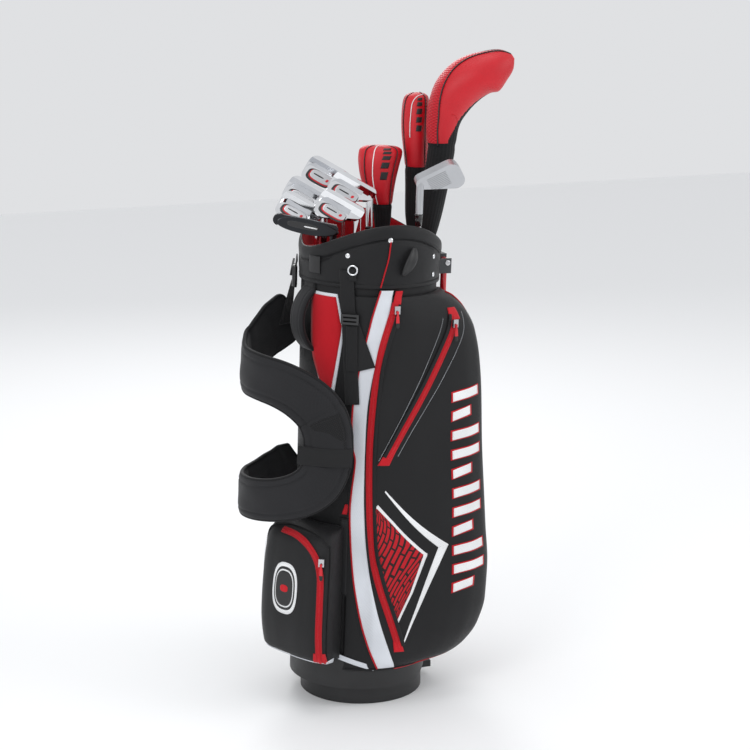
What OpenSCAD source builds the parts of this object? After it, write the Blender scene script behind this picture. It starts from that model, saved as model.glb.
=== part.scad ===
// Golf club set: a stand bag with its legs folded, holding ten clubs.
// The origin is the point where the bag's axis meets the ground. +Z is up, the stand legs are
// on the +X side, the spine handle and shoulder straps on the -X side. Millimetres.

/* [Bag] */
// Lean of the bag's axis towards its legs, degrees
lean = 2; // [0:0.5:3]
// Height of the rim's two high sides, along the bag's axis
bag_h = 877; // [730:1:1060]
// How far the rim dips at the strap side and the leg side
rim_dip = 50; // [20:1:60]
// Outer radius of the fabric tube
tube_r = 120; // [116:0.5:145]
// Thickness of the tube's fabric and foam
tube_wall = 2.5; // [1.5:0.5:4]
// Thickness of the padded cuff
cuff_wall = 5.5; // [4:0.5:7]
// Height of the cuff, below the rim's high sides
cuff_h = 112; // [93:1:135]
// Thickness of the divider's padded bars
bar_t = 7; // [5:0.5:9]
// Height of the divider's padded bars
bar_h = 24; // [18:1:30]

/* [Base] */
// Height of the hinge line and of the boot's flat underside
boot_z = 32; // [30:0.5:38]
// Height of the boot's wall
boot_h = 56; // [50:1:68]
// Thickness of the boot's moulded floor
boot_floor = 26; // [24:1:32]
// Distance from the axis to the foot's hinge, towards the legs
hinge_x = 80; // [70:1:90]
// Radius of the foot plate
foot_r = 112; // [100:1:118]
// Radius of the foot's hinge pins
pin_r = 3; // [2.5:0.25:4]
// Opening angle of the foot
foot_swing = 28; // [20:1:30]

/* [Stand] */
// Height of the leg pivots, below the rim's high sides
pivot_drop = 83; // [75:1:95]
// Length of each leg, pivot to tip
leg_len = 722; // [560:1:740]
// Radius of a leg tube
leg_r = 5.75; // [5:0.25:7]
// Half the distance between the two legs
leg_gap = 26; // [24:0.5:30]
// Angle between each leg's swing and the bag's plane of symmetry
leg_splay = 20; // [10:1:25]
// Radius of the rod that pushes the legs out
rod_r = 2.5; // [2:0.25:3]

/* [Pockets] */
// Gap between a pocket's back and the tube
pocket_gap = 0.6; // [0.5:0.1:1]
// How far a side pocket stands out at its fullest corner
side_bulge = 104; // [85:1:125]
// How far the ball pocket stands out
ball_bulge = 64; // [53:1:77]

/* [Straps] */
// Width of the shoulder pads
pad_w = 78; // [65:1:92]
// Thickness of the shoulder pads
pad_t = 11; // [8:0.5:13]
// Width of the grab handle
handle_w = 40; // [24:1:44]
// Width of the webbing
web_w = 25; // [20:1:30]

/* [Clubs] */
// Turn of the heads' line about the bag's axis, degrees
turn = -22; // [-30:1:-15]
// Radius of a grip at its butt
grip_r = 12.5; // [11:0.25:13]
// Length of a grip
grip_len = 265; // [230:1:280]
// Radius of a shaft at its tip
tip_r = 4.7; // [4.4:0.1:5]
// Radius of a shaft at its butt
butt_r = 7.6; // [7:0.1:8]
// Thickness of a shaft's wall
shaft_wall = 0.8; // [0.5:0.1:1.2]
// Length of an iron's blade, heel to toe
blade_len = 78; // [70:1:82]
// Lean of the driver against the bag's axis, degrees
driver_lean = 6; // [4:0.5:6]
// Thickness of a padded headcover
cover_t = 3; // [2:0.5:3.5]

/* [Hidden] */
$fn = 64;

black = [0.09, 0.09, 0.10];
charcoal = [0.17, 0.17, 0.19];
red = [0.78, 0.04, 0.09];
steel = [0.75, 0.76, 0.78];

mouth_r = tube_r + 0.3;
cuff_r = mouth_r + cuff_wall;
cuff_z = bag_h - cuff_h;
bar_z = bag_h - rim_dip - bar_h - 10;
boot_r = mouth_r + 4;
floor_z = boot_z + boot_floor;
boot_top = boot_z + boot_h;
club_z = floor_z + 0.4;
reach = mouth_r - grip_r - 0.6;
leg_x = tube_r + 14;
pivot_z = bag_h - pivot_drop;
rod_x = leg_x - 3;
hinge_y = 50;
lug_w = 14;
ear_w = 9;
lug_gap = 0.5;

// Where each club stands: across and behind the axis as shares of the reach, and the height of
// its heel above the rim's high sides
driver_at = [0.98, 0.2, 155];
fairway_at = [0.71, 0.66, 130];
hybrid_at = [0.195, 0.47, 55];
iron_6_at = [0.78, -0.59, 74];
iron_7_at = [-0.47, 0.82, 57];
iron_8_at = [-0.03, -0.02, 41];
iron_9_at = [-0.78, 0.41, 24];
pitching_wedge_at = [-0.22, -0.75, 17];
sand_wedge_at = [-0.88, 0.02, 1];
putter_at = [-0.61, -0.43, -12];

// ---------- general shapes ----------

// Smooth curve through the rows of a table: t runs from 0 at the first row to 1 at the last
function curve(rows, t) =
    let (
        n = len(rows) - 1,
        i = min(floor(t * n), n - 1),
        f = t * n - i,
        a = rows[max(i - 1, 0)],
        b = rows[i],
        c = rows[i + 1],
        d = rows[min(i + 2, n)]
    )
    0.5 * (2 * b + (c - a) * f + (2 * a - 5 * b + 4 * c - d) * f * f
        + (3 * b - a - 3 * c + d) * f * f * f);

// Points of a curve through a table, in so many steps
function curve_points(rows, steps) = [for (i = [0 : steps]) curve(rows, i / steps)];

// Closed skin over a list of rings with equal numbers of points, capped at both ends
module skin(rings) {
    n = len(rings[0]);
    last = len(rings) - 1;
    polyhedron(
        points = [for (ring = rings) each ring],
        faces = concat(
            [[for (k = [0 : n - 1]) n - 1 - k]],
            [[for (k = [0 : n - 1]) last * n + k]],
            [for (i = [0 : last - 1]) for (k = [0 : n - 1])
                let (m = (k + 1) % n)
                each [[i * n + k, (i + 1) * n + m, (i + 1) * n + k],
                    [i * n + k, i * n + m, (i + 1) * n + m]]]
        )
    );
}

// Ring of a soft tube: an upright ellipse about its station [x, z, tilt, half across, half deep]
function oval(station, inset, n) =
    [for (k = [0 : n - 1])
        let (
            a = -360 * k / n,
            across = (station[3] - inset) * cos(a),
            deep = (station[4] - inset) * sin(a)
        )
        [station[0] + across * cos(station[2]), deep, station[1] - across * sin(station[2])]];

// Hollow sock with an open bottom, through a table of stations
module sock(stations, wall, steps, n) {
    rows = curve_points(stations, steps);
    inside = [for (i = [steps - 1 : -1 : 0]) oval(rows[i], wall, n)];
    outside = [for (i = [0 : steps]) oval(rows[i], 0, n)];
    skin(concat(inside, outside));
}

// Solid body through a table of stations, smaller than the sock by the inset
module filling(stations, inset, steps, n) {
    rows = curve_points(stations, steps);
    skin([for (i = [0 : steps - 1]) oval(rows[i], inset, n)]);
}

// Flat band along a path: its thickness lies along the given outward directions, and across the
// path where none are given
module ribbon(path, width, thick, outs = []) {
    last = len(path) - 1;
    rim = 0.3 * thick;
    skin([for (i = [0 : last])
        let (
            ahead = path[min(i + 1, last)] - path[max(i - 1, 0)],
            along = ahead / norm(ahead),
            side = len(outs) > 0 ? outs[i] - along * (along * outs[i]) : cross(along, [0, 0, 1]),
            across = side / norm(side),
            up = cross(across, along)
        )
        [for (p = [[-1, -1], [1, -1], [1, 1], [-1, 1]]) each
            let (
                edge = p[1] * width / 2,
                face = p[0] * thick / 2,
                first = [edge - p[1] * rim, face],
                second = [edge, face - p[0] * rim],
                pair = p[0] * p[1] > 0 ? [first, second] : [second, first]
            )
            [for (q = pair) path[i] + up * q[0] + across * q[1]]]]);
}

// Point of an upright surface whose radius depends on the angle and the height
function on_surface(radius_of, angle, z) =
    let (r = radius_of(angle, z))
    [r * cos(angle), r * sin(angle), z];

// Outward direction of such a surface, level with the ground
function out_of(radius_of, angle, z) =
    let (along = on_surface(radius_of, angle + 1, z) - on_surface(radius_of, angle - 1, z))
    [along[1], -along[0], 0] / norm(along);

// Band that lies above such a surface, along a list of [angle, height]
module surface_band(rows, radius_of, above, width, thick) {
    outs = [for (r = rows) out_of(radius_of, r[0], r[1])];
    ribbon([for (i = [0 : len(rows) - 1])
        on_surface(radius_of, rows[i][0], rows[i][1]) + above * outs[i]], width, thick, outs);
}

// Everything that stands on the bag's leaning axis
module on_axis() {
    rotate([0, lean, 0]) children();
}

// The place of a club: its shaft's line, measured up from the bag's floor
module at_club(place, tilt = 0) {
    on_axis()
        rotate([0, 0, turn])
            translate([place[0] * reach, place[1] * reach, bag_h])
                rotate([0, tilt, 0])
                    children();
}

// ---------- base ----------

// Foot plate on the ground, hinged to the boot near its leg side, with a tongue under the rod
module base_foot() {
    rim = 6;
    tongue_w = 26;
    color(black)
        difference() {
            union() {
                difference() {
                    below_boot()
                        translate([9, 0, 0])
                            cylinder(r = foot_r, h = 2 * boot_z);
                    translate([9, 0, 7])
                        cylinder(r = foot_r - rim, h = 80);
                }
                below_boot()
                    translate([9 + foot_r - rim + 2, -tongue_w / 2, 14])
                        cube([rod_x + 6 - foot_r + rim - 2, tongue_w, 40]);
                on_axis()
                    for (s = [-1, 1])
                        foot_lug(s);
            }
            on_axis()
                translate([hinge_x, 0, boot_z - 2])
                    rotate([90, 0, 0])
                        cylinder(r = pin_r + 0.05, h = 240, center = true);
        }
}

// Cuts its children off just under the boot
module below_boot() {
    intersection() {
        children();
        on_axis()
            translate([-200, -200, -50])
                cube([400, 400, boot_z - 0.5 + 50]);
    }
}

// One lug of the foot, round a hinge pin
module foot_lug(s) {
    translate([hinge_x, s * hinge_y - lug_w / 2, boot_z - 2])
        rotate([-90, 0, 0])
            cylinder(r = 7.5, h = lug_w);
    translate([hinge_x - 6, s * hinge_y - lug_w / 2, 6])
        cube([13, lug_w, boot_z - 10]);
}

// Moulded boot that the tube stands in, bevelled towards the legs so that the foot can open
module base_boot() {
    ear_y = hinge_y + lug_w / 2 + lug_gap;
    color(black)
        on_axis() {
            difference() {
                translate([0, 0, boot_z])
                    cylinder(r = boot_r, h = boot_h);
                translate([0, 0, floor_z])
                    cylinder(r = mouth_r, h = boot_h);
                translate([hinge_x, -200, boot_z - 0.01])
                    rotate([0, -foot_swing - 1, 0])
                        translate([0, 0, -100])
                            cube([200, 400, 100]);
                for (s = [-1, 1])
                    translate([hinge_x - 13, s * hinge_y - lug_w / 2 - lug_gap, boot_z - 1])
                        cube([22, lug_w + 2 * lug_gap, 9]);
                translate([hinge_x, 0, boot_z - 2])
                    rotate([90, 0, 0])
                        cylinder(r = pin_r, h = 240, center = true);
            }
            for (s = [-1, 1])
                difference() {
                    boot_ear(s * (ear_y + ear_w / 2));
                    translate([hinge_x, 0, boot_z - 2])
                        rotate([90, 0, 0])
                            cylinder(r = pin_r, h = 240, center = true);
                }
        }
}

// Ear of the boot that carries one end of a hinge pin
module boot_ear(y) {
    translate([hinge_x, y + ear_w / 2, boot_z - 2])
        rotate([90, 0, 0])
            cylinder(r = 6, h = ear_w);
    translate([hinge_x - 6, y - ear_w / 2, boot_z - 2])
        cube([6, ear_w, 2]);
}

// Two steel pins, pressed in the boot's ears and turning in the foot's lugs
module hinge_pins() {
    color(steel)
        on_axis()
            for (s = [-1, 1])
                translate([hinge_x, s * hinge_y - s * lug_w / 2, boot_z - 2])
                    rotate([-90 * s, 0, 0])
                        cylinder(r = pin_r, h = lug_w + lug_gap + ear_w);
}

// ---------- bag ----------

module bag_tube() {
    color(black)
        on_axis()
            translate([0, 0, floor_z])
                difference() {
                    cylinder(r = tube_r, h = bar_z - 1 - floor_z, $fn = 96);
                    translate([0, 0, -1])
                        cylinder(r = tube_r - tube_wall, h = bag_h, $fn = 96);
                }
}

// Padded cuff whose rim dips in one long curve at the strap side and the leg side
module top_cuff() {
    dip_r = (cuff_r * cuff_r + rim_dip * rim_dip) / (2 * rim_dip);
    color(black)
        on_axis()
            difference() {
                intersection() {
                    translate([0, 0, cuff_z])
                        cylinder(r = cuff_r, h = cuff_h + 1, $fn = 96);
                    translate([0, 0, bag_h - dip_r])
                        rotate([90, 0, 0])
                            cylinder(r = dip_r, h = 400, center = true, $fn = 96);
                }
                translate([0, 0, cuff_z - 1])
                    cylinder(r = mouth_r, h = cuff_h + 3, $fn = 96);
            }
}

// Padded bars that keep the clubs apart inside the mouth
module divider() {
    far_bar = 0.215 * reach;
    near_bar = -0.19 * reach;
    right_bar = 0.47 * reach;
    color(charcoal)
        on_axis()
            translate([0, 0, bar_z])
                intersection() {
                    cylinder(r = mouth_r, h = bar_h, $fn = 96);
                    rotate([0, 0, turn])
                        union() {
                            bar(-2 * tube_r, 2 * tube_r, near_bar, false);
                            bar(-2 * tube_r, right_bar, far_bar, false);
                            bar(-2 * tube_r, 2 * tube_r, right_bar, true);
                            bar(-2 * tube_r, far_bar, -0.40 * reach, true);
                            bar(far_bar, 2 * tube_r, -0.11 * reach, true);
                        }
                }
}

// One padded bar from one place to another, at a distance from the axis
module bar(start, end, away, upright) {
    if (upright)
        translate([away - bar_t / 2, start, 0])
            cube([bar_t, end - start, bar_h]);
    else
        translate([start, away - bar_t / 2, 0])
            cube([end - start, bar_t, bar_h]);
}

// Thin rods that hold the tube straight between the boot and the divider
module stays() {
    stay_r = 2.2;
    stay_at = tube_r - tube_wall - stay_r - 0.4;
    color(charcoal)
        on_axis()
            for (a = [turn + 8, turn + 90, turn + 180, turn + 268])
                rotate([0, 0, a])
                    translate([stay_at, 0, floor_z])
                        cylinder(r = stay_r, h = bag_h - rim_dip - bar_h - 12 - floor_z);
}

// Bracket on the cuff that the legs hang from, and the guides of the rod below it
module leg_bracket() {
    block_h = 26;
    back = cuff_r + 0.5;
    color(charcoal)
        on_axis() {
            difference() {
                translate([back - 1, -leg_gap + 9.5, pivot_z - block_h / 2])
                    cube([leg_x + 9 - back + 1, 2 * leg_gap - 19, block_h]);
                translate([0, 0, pivot_z - block_h])
                    cylinder(r = back, h = 2 * block_h, $fn = 96);
                for (s = [-1, 1])
                    leg_bore(s, 3);
                translate([rod_x, 0, pivot_z - block_h])
                    cylinder(r = rod_r + 1.2, h = block_h + 4);
            }
            for (s = [-1, 1])
                leg_pin(s);
            for (z = [cuff_z - 180, floor_z + 130])
                rod_guide(z);
        }
}

// Direction of a leg's hinge pin, s is -1 for the near leg and 1 for the far one
module along_pin(s) {
    translate([leg_x, s * leg_gap, pivot_z])
        rotate([0, 0, s * leg_splay])
            rotate([-90 * s, 0, 0])
                children();
}

module leg_bore(s, r) {
    along_pin(s)
        translate([0, 0, -14])
            cylinder(r = r, h = 30);
}

module leg_pin(s) {
    along_pin(s) {
        translate([0, 0, -13])
            cylinder(r = 3, h = 13 + leg_r + 3);
        translate([0, 0, leg_r + 3])
            cylinder(r = 5, h = 2.5);
    }
}

// Small saddle on the tube that guides the actuator rod
module rod_guide(z) {
    difference() {
        translate([tube_r + 0.2, -8, z])
            cube([rod_x + 6 - tube_r, 16, 14]);
        translate([0, 0, z - 1])
            cylinder(r = tube_r + 0.4, h = 20, $fn = 96);
        translate([rod_x, 0, z - 1])
            cylinder(r = rod_r + 0.08, h = 20);
    }
}

// Rod from the foot's tongue up to a crossbar between the legs
module actuator_rod() {
    top = cuff_z - 60;
    color(steel)
        on_axis() {
            translate([rod_x, 0, boot_z + 0.3])
                cylinder(r = rod_r, h = top - boot_z);
            translate([rod_x, 0, top])
                rotate([90, 0, 0])
                    cylinder(r = rod_r + 1, h = 2 * (leg_gap - leg_r - 1.5), center = true);
        }
}

// One leg tube, with its flattened eye on the pivot pin
module leg(s) {
    tip_h = 38;
    color(red)
        on_axis() {
            difference() {
                union() {
                    translate([leg_x, s * leg_gap, pivot_z - leg_len + tip_h])
                        cylinder(r = leg_r, h = leg_len - tip_h);
                    along_pin(s)
                        translate([0, 0, -leg_r - 1])
                            cylinder(r = 8, h = 2 * leg_r + 2);
                }
                leg_bore(s, 3.05);
            }
        }
}

// Rubber tip of one leg
module leg_tip(s) {
    color(black)
        on_axis()
            translate([leg_x, s * leg_gap, pivot_z - leg_len])
                difference() {
                    union() {
                        translate([0, 0, 6])
                            cylinder(r = 8, h = 50);
                        intersection() {
                            cylinder(r = 8, h = 7);
                            translate([0, 0, 9])
                                sphere(r = 9);
                        }
                    }
                    translate([0, 0, 38])
                        cylinder(r = leg_r, h = 20);
                }
}

// ---------- pockets ----------

// How far a side pocket stands out at each angle, as a share of its fullest
side_plan = [[-102, 0.03], [-96, 0.05], [-90, 0.07], [-82, 0.12], [-75, 0.19], [-66, 0.31],
    [-58, 0.48], [-51, 0.68], [-44, 0.88], [-36, 1.0], [-29, 0.95], [-24, 0.82], [-21, 0.62],
    [-19.5, 0.35], [-18.5, 0.05]];
// How full a side pocket is at each share of its height
side_fill = [[0, 0.05], [0.02, 0.42], [0.06, 0.72], [0.11, 0.92], [0.18, 1.03], [0.27, 1.04],
    [0.38, 0.98], [0.55, 0.88], [0.7, 0.82], [0.83, 0.74], [0.9, 0.64], [0.95, 0.46],
    [0.985, 0.22], [1, 0.05]];
side_low = boot_top - 20;
side_high = cuff_z - 14;

// Outer radius of a side pocket at an angle and a height
function side_r(angle, z) =
    let (
        share = (z - side_low) / (side_high - side_low),
        full = lookup(share, side_fill),
        thin = 4 * min(1, full * 2)
    )
    boot_r + 1 + thin + side_bulge * full * lookup(angle, side_plan);

// Big clothing pocket beside the legs, s is 1 for the near one and -1 for its mirror image
module side_pocket(s) {
    back_r = boot_r + pocket_gap;
    levels = [0, 0.02, 0.06, 0.11, 0.18, 0.27, 0.38, 0.55, 0.7, 0.83, 0.9, 0.95, 0.985, 1];
    angles = [for (row = side_plan) row[0]];
    count = len(angles) - 1;
    color(black)
        on_axis()
            mirror([0, s > 0 ? 0 : 1, 0])
                skin([for (share = levels)
                    let (z = side_low + share * (side_high - side_low))
                    concat(
                        [for (i = [0 : count]) let (a = angles[i])
                            [side_r(a, z) * cos(a), side_r(a, z) * sin(a), z]],
                        [for (i = [count : -1 : 0]) let (a = angles[i])
                            [back_r * cos(a), back_r * sin(a), z]]
                    )]);
}

// Ball pocket's plan and fill, like the side pockets'
ball_plan = [[-184, 0.05], [-182, 0.6], [-179, 0.97], [-174, 1.02], [-166, 0.97], [-155, 0.94],
    [-144, 0.97], [-136, 1.02], [-131, 0.97], [-128, 0.6], [-126.5, 0.05]];
ball_fill = [[0, 0.9], [0.05, 1], [0.3, 1.06], [0.7, 0.98], [0.9, 0.84], [0.97, 0.7], [1, 0.55]];
ball_low = boot_top + 2;
ball_high = ball_low + 246;

function ball_r(angle, z) =
    let (share = (z - ball_low) / (ball_high - ball_low))
    boot_r + 2 + ball_bulge * lookup(share, ball_fill) * lookup(angle, ball_plan);

module ball_pocket() {
    back_r = tube_r + pocket_gap;
    angles = [for (row = ball_plan) row[0]];
    count = len(angles) - 1;
    color(black)
        on_axis()
            skin([for (row = ball_fill)
                let (z = ball_low + row[0] * (ball_high - ball_low))
                concat(
                    [for (i = [0 : count]) let (a = angles[i])
                        [ball_r(a, z) * cos(a), ball_r(a, z) * sin(a), z]],
                    [for (i = [count : -1 : 0]) let (a = angles[i])
                        [back_r * cos(a), back_r * sin(a), z]]
                )]);
}

// Shallow pocket between the ball pocket and the stripe
module valuables_pocket() {
    color(black)
        on_axis()
            translate([0, 0, ball_high - 130])
                difference() {
                    cylinder(r = tube_r + 7, h = 145, $fn = 96);
                    translate([0, 0, -1])
                        cylinder(r = tube_r + pocket_gap, h = 150, $fn = 96);
                    rotate([0, 0, -106])
                        translate([-400, 0, -1])
                            cube([800, 400, 150]);
                    rotate([0, 0, -125])
                        translate([-400, -400, -1])
                            cube([800, 400, 150]);
                }
}

// ---------- handle and straps ----------

handle_z = cuff_z - 66;

// Padded grab handle on the spine, a flat bow with room for four fingers
module carry_handle() {
    half = 56;
    rise = 27;
    thick = 8;
    bow_r = (half * half + rise * rise) / (2 * rise);
    color(charcoal)
        on_axis()
            translate([-tube_r - 0.6, 0, handle_z])
                rotate([90, 0, 0])
                    linear_extrude(height = handle_w, center = true)
                        intersection() {
                            difference() {
                                translate([bow_r - rise, 0])
                                    circle(r = bow_r, $fn = 96);
                                translate([bow_r - rise, 0])
                                    circle(r = bow_r - thick, $fn = 96);
                            }
                            translate([-rise - 1, -half])
                                square([rise + 0.5, 2 * half]);
                        }
}

// Line of a shoulder pad: an oval round the spine side whose height changes along it
function pad_path(rows, steps) =
    [for (i = [0 : steps])
        let (row = curve(rows, i / steps))
        [-60 + row[1] * cos(row[0]), row[2] * sin(row[0]), row[3]]];

// Rows are [angle, half length of the oval, half width of the oval, height]
upper_pad = [[-96, 160, 143, 512], [-112, 162, 140, 545], [-135, 165, 130, 590],
    [-160, 168, 124, 604], [-185, 168, 124, 608], [-210, 165, 124, 620], [-228, 140, 122, 640],
    [-238, 112, 118, 655]];
lower_pad = [[-96, 160, 143, 455], [-112, 162, 140, 425], [-135, 165, 130, 392],
    [-160, 168, 124, 384], [-185, 168, 124, 380], [-210, 165, 124, 378], [-228, 140, 122, 392],
    [-238, 112, 118, 410]];
strap_lift = handle_z - 699;

// The far webbing runs from the cuff to the inner face of the upper pad's far end
far_pad_out = [-0.26, 0.966, 0];
far_web_top = [(cuff_r + 3.5) * cos(162), (cuff_r + 3.5) * sin(162), cuff_z + 34];
far_web_foot = [-126, 98.7, 668 + strap_lift] - far_pad_out * (pad_t / 2 + 1.6);
far_buckle_share = 0.15;
web_t = 2.4;
buckle_gap = 2.2;

module strap_pad(rows, width) {
    color(charcoal)
        on_axis()
            translate([0, 0, strap_lift])
                ribbon(pad_path(rows, 22), width, pad_t);
}

// Webbing from the cuff to the pads' near and far ends, and the band across the pads' hub
module strap_webbing() {
    color(black)
        on_axis() {
            surface_band([for (i = [0 : 8])
                [-130 + i, cuff_z + 32 - (cuff_z - 528 - strap_lift) * i / 8]],
                function (a, z) cuff_r, 2.5, web_w, web_t);
            ribbon([for (i = [0 : 8]) far_web_top + (far_web_foot - far_web_top) * i / 8],
                web_w, web_t,
                [for (i = [0 : 8]) [cos(162), sin(162), 0] * (1 - i / 8) + far_pad_out * i / 8]);
        }
}

// One adjuster, a plate with two slots, lying across +X with its back face at x = 0
module buckle() {
    translate([0, -16, -9])
        difference() {
            cube([4, 32, 18]);
            translate([-1, 4, 4])
                cube([6, 24, 3]);
            translate([-1, 4, 11])
                cube([6, 24, 3]);
        }
}

// Adjusters on the webbing: the far one lies flat on its slanting tape
module strap_buckles() {
    down = (far_web_foot - far_web_top) / norm(far_web_foot - far_web_top);
    share = far_buckle_share;
    out = [cos(162), sin(162), 0] * (1 - share) + far_pad_out * share;
    across = cross(down, out) / norm(cross(down, out));
    face = cross(across, down);
    spot = far_web_top * (1 - share) + far_web_foot * share;
    color(charcoal)
        on_axis() {
            rotate([0, 0, -125.4])
                translate([cuff_r + 6, 0, cuff_z - 53])
                    buckle();
            multmatrix([
                [face[0], -across[0], -down[0], spot[0]],
                [face[1], -across[1], -down[1], spot[1]],
                [face[2], -across[2], -down[2], spot[2]],
                [0, 0, 0, 1]])
                translate([web_t / 2 + buckle_gap, 0, 0])
                    buckle();
        }
}

// Domed rivets of the cuff, and the ring that takes the near strap
module rivets() {
    color(steel)
        on_axis() {
            for (place = [[-129.6, 57], [-96, 86], [-49, 51], [-49, 19], [129.6, 57], [96, 86],
                [49, 51], [49, 19], [154, 44]])
                rotate([0, 0, place[0]])
                    translate([cuff_r + 0.1, 0, cuff_z + place[1]])
                        rotate([0, 90, 0])
                            intersection() {
                                cylinder(r = 4.2, h = 2);
                                translate([0, 0, -6])
                                    sphere(r = 8);
                            }
            rotate([0, 0, -124.7])
                translate([cuff_r + 5.7, 0, cuff_z + 33])
                    rotate([0, 90, 0])
                        rotate_extrude()
                            translate([8, 0])
                                circle(r = 1.5);
        }
}

// ---------- zippers ----------

// Where the long zipper runs: shares of the way from its top to its bottom, and the angles there
long_zip = [[0, -90], [0.07, -96], [0.14, -99.5], [0.2, -100.5], [0.75, -100.5], [0.83, -96],
    [0.9, -89], [1, -80]];
// Each zipper's rows are [angle, height]
tube_zip = [for (i = [0 : 24])
    [lookup(i / 24, long_zip), cuff_z - 24 - (cuff_z - 24 - boot_top - 25) * i / 24]];
side_zip = [for (i = [0 : 16]) [-48 - 34 * i / 16, cuff_z - 50 - 230 * i / 16]];
ball_zip = [for (i = [0 : 10]) [-133, ball_low + 6 + 200 * i / 10]];

module zipper(rows, radius_of) {
    surface_band(rows, radius_of, 2.5, 12, 1.4);
}

module zippers() {
    color(red)
        on_axis() {
            zipper(tube_zip, on_side);
            zipper(side_zip, on_side);
            zipper(ball_zip, on_ball);
        }
}

// Where each slider rests, as [angle, height], and how far its underside is above the fabric
tube_slider = [-90.5, cuff_z - 34];
side_slider = [-50, cuff_z - 62];
ball_slider = [-133, ball_high - 50];
slider_lift = 6.5;
on_side = function (a, z) side_r(a, z);
on_ball = function (a, z) ball_r(a, z);

// Puts its children at a slider's place, with +X away from the fabric
module at_slider(place, radius_of) {
    out = out_of(radius_of, place[0], place[1]);
    on_axis()
        translate(on_surface(radius_of, place[0], place[1]) + slider_lift * out)
            rotate([0, 0, atan2(out[1], out[0])])
                children();
}

// Slider body that rides over a zipper's tape, with the slot that its pull hangs in
module zip_slider(place, radius_of) {
    color(black)
        at_slider(place, radius_of)
            difference() {
                translate([0, -5, -7])
                    cube([5, 10, 14]);
                translate([2.6, -6, -2])
                    cube([1.6, 12, 4]);
            }
}

// Pull tab that hangs from its slider
module zip_pull(place, radius_of) {
    color(red)
        at_slider(place, radius_of)
            union() {
                translate([6, -3.5, -32])
                    cube([1.8, 7, 32]);
                translate([6.9, 0, 0])
                    rotate([90, 0, 0])
                        cylinder(r = 1.5, h = 7, center = true);
            }
}

// ---------- clubs ----------

// Height of a club's butt below the rim's high sides, measured down its shaft
function butt_depth(tilt) = (bag_h - club_z) / cos(tilt) - grip_r * sin(tilt);
hosel_len = 60;

// Hollow shaft from inside the grip up into the hosel, narrowing above the grip, and its ferrule
module club_shaft(place, tilt = 0) {
    butt = 12 - butt_depth(tilt);
    hosel_low = place[2] - hosel_len;
    difference() {
        shaft_body(butt, hosel_low, 0);
        shaft_body(butt, hosel_low, shaft_wall);
    }
    color(black)
        translate([0, 0, hosel_low - 20])
            difference() {
                cylinder(r1 = 5.3, r2 = 6.5, h = 20);
                translate([0, 0, -1])
                    cylinder(r = tip_r, h = 30);
            }
}

// Straight butt, tapered middle and straight tip of a shaft, made thinner by the inset
module shaft_body(butt, hosel_low, inset) {
    end = inset > 0 ? 1 : 0;
    translate([0, 0, butt - end])
        cylinder(r = butt_r - inset, h = grip_len + end);
    translate([0, 0, butt + grip_len])
        cylinder(r1 = butt_r - inset, r2 = tip_r - inset, h = hosel_low - 60 - butt - grip_len);
    translate([0, 0, hosel_low - 60])
        cylinder(r = tip_r - inset, h = 90 + end);
}

// Rubber grip, closed at the butt
module club_grip(tilt = 0) {
    color(black)
        translate([0, 0, -butt_depth(tilt)])
            rotate_extrude()
                polygon([[0, 0], [grip_r - 3, 0], [grip_r - 0.8, 1], [grip_r, 3.5], [grip_r - 0.3, 20],
                    [butt_r + 1.8, grip_len - 2], [butt_r + 1, grip_len], [butt_r, grip_len],
                    [butt_r, 12], [0, 12]]);
}

// Points of an arc, from one angle to another
function arc(x, y, r, from, to, steps) =
    [for (i = [0 : steps])
        let (a = from + (to - from) * i / steps)
        [x + r * cos(a), y + r * sin(a)]];

// Face outline of a blade: heel, sole, toe and top line, made smaller by the inset
function blade_outline(inset) =
    concat(
        arc(7, 12, 12 - inset, 125, 262, 6),
        arc(blade_len - 20, 19, 19 - inset, 275, 360, 7),
        arc(blade_len - 17, 37, 16 - inset, 0, 112, 8)
    );

// Iron head on its hosel, upside down: sole up, toe up and across, back towards -Y
module iron_head(place, loft, turned = 0) {
    shank_r = 6.6;
    lie = 28;
    color(steel)
        translate([0, 0, place[2]])
            rotate([0, 0, turned])
                difference() {
                    union() {
                        rotate([90 + loft, 180 + lie, 0])
                            translate([-6, -7, -8])
                                iron_blade();
                        translate([0, 0, -hosel_len])
                            cylinder(r = shank_r, h = hosel_len);
                    }
                    translate([0, 0, -hosel_len - 1])
                        cylinder(r = tip_r, h = 31);
                }
}

// Wedge-shaped blade with a shallow cavity in its back; the face lies at zero
module iron_blade() {
    intersection() {
        difference() {
            linear_extrude(height = 24)
                polygon(blade_outline(0));
            translate([3, 9, 3.4])
                linear_extrude(height = 24)
                    intersection() {
                        polygon(blade_outline(5));
                        translate([14, 5])
                            square([100, 100]);
                    }
        }
        rotate([90, 0, 90])
            translate([0, 0, -20])
                linear_extrude(height = 140)
                    polygon([[-6, 2], [-3, 16], [2, 18], [9, 18], [16, 8.5], [60, 5.5], [60, 0],
                        [1, 0]]);
    }
}

// Blade putter, upside down, with its short hosel at the heel
module putter_blade() {
    lie = 10;
    color(charcoal)
        translate([0, 0, putter_at[2]])
            difference() {
                union() {
                    rotate([94, 180 + lie, 0])
                        translate([-6, 0, -9])
                            difference() {
                                linear_extrude(height = 26)
                                    polygon(concat(arc(4, 8, 8, 90, 270, 6),
                                        arc(blade_len + 24, 10, 10, 270, 450, 8)));
                                translate([16, 7, 8])
                                    linear_extrude(height = 30)
                                        square([blade_len + 8, 40]);
                            }
                    translate([0, 0, -hosel_len])
                        cylinder(r = 6.4, h = hosel_len - 1);
                }
                translate([0, 0, -hosel_len - 1])
                    cylinder(r = tip_r, h = 31);
            }
}

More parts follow.
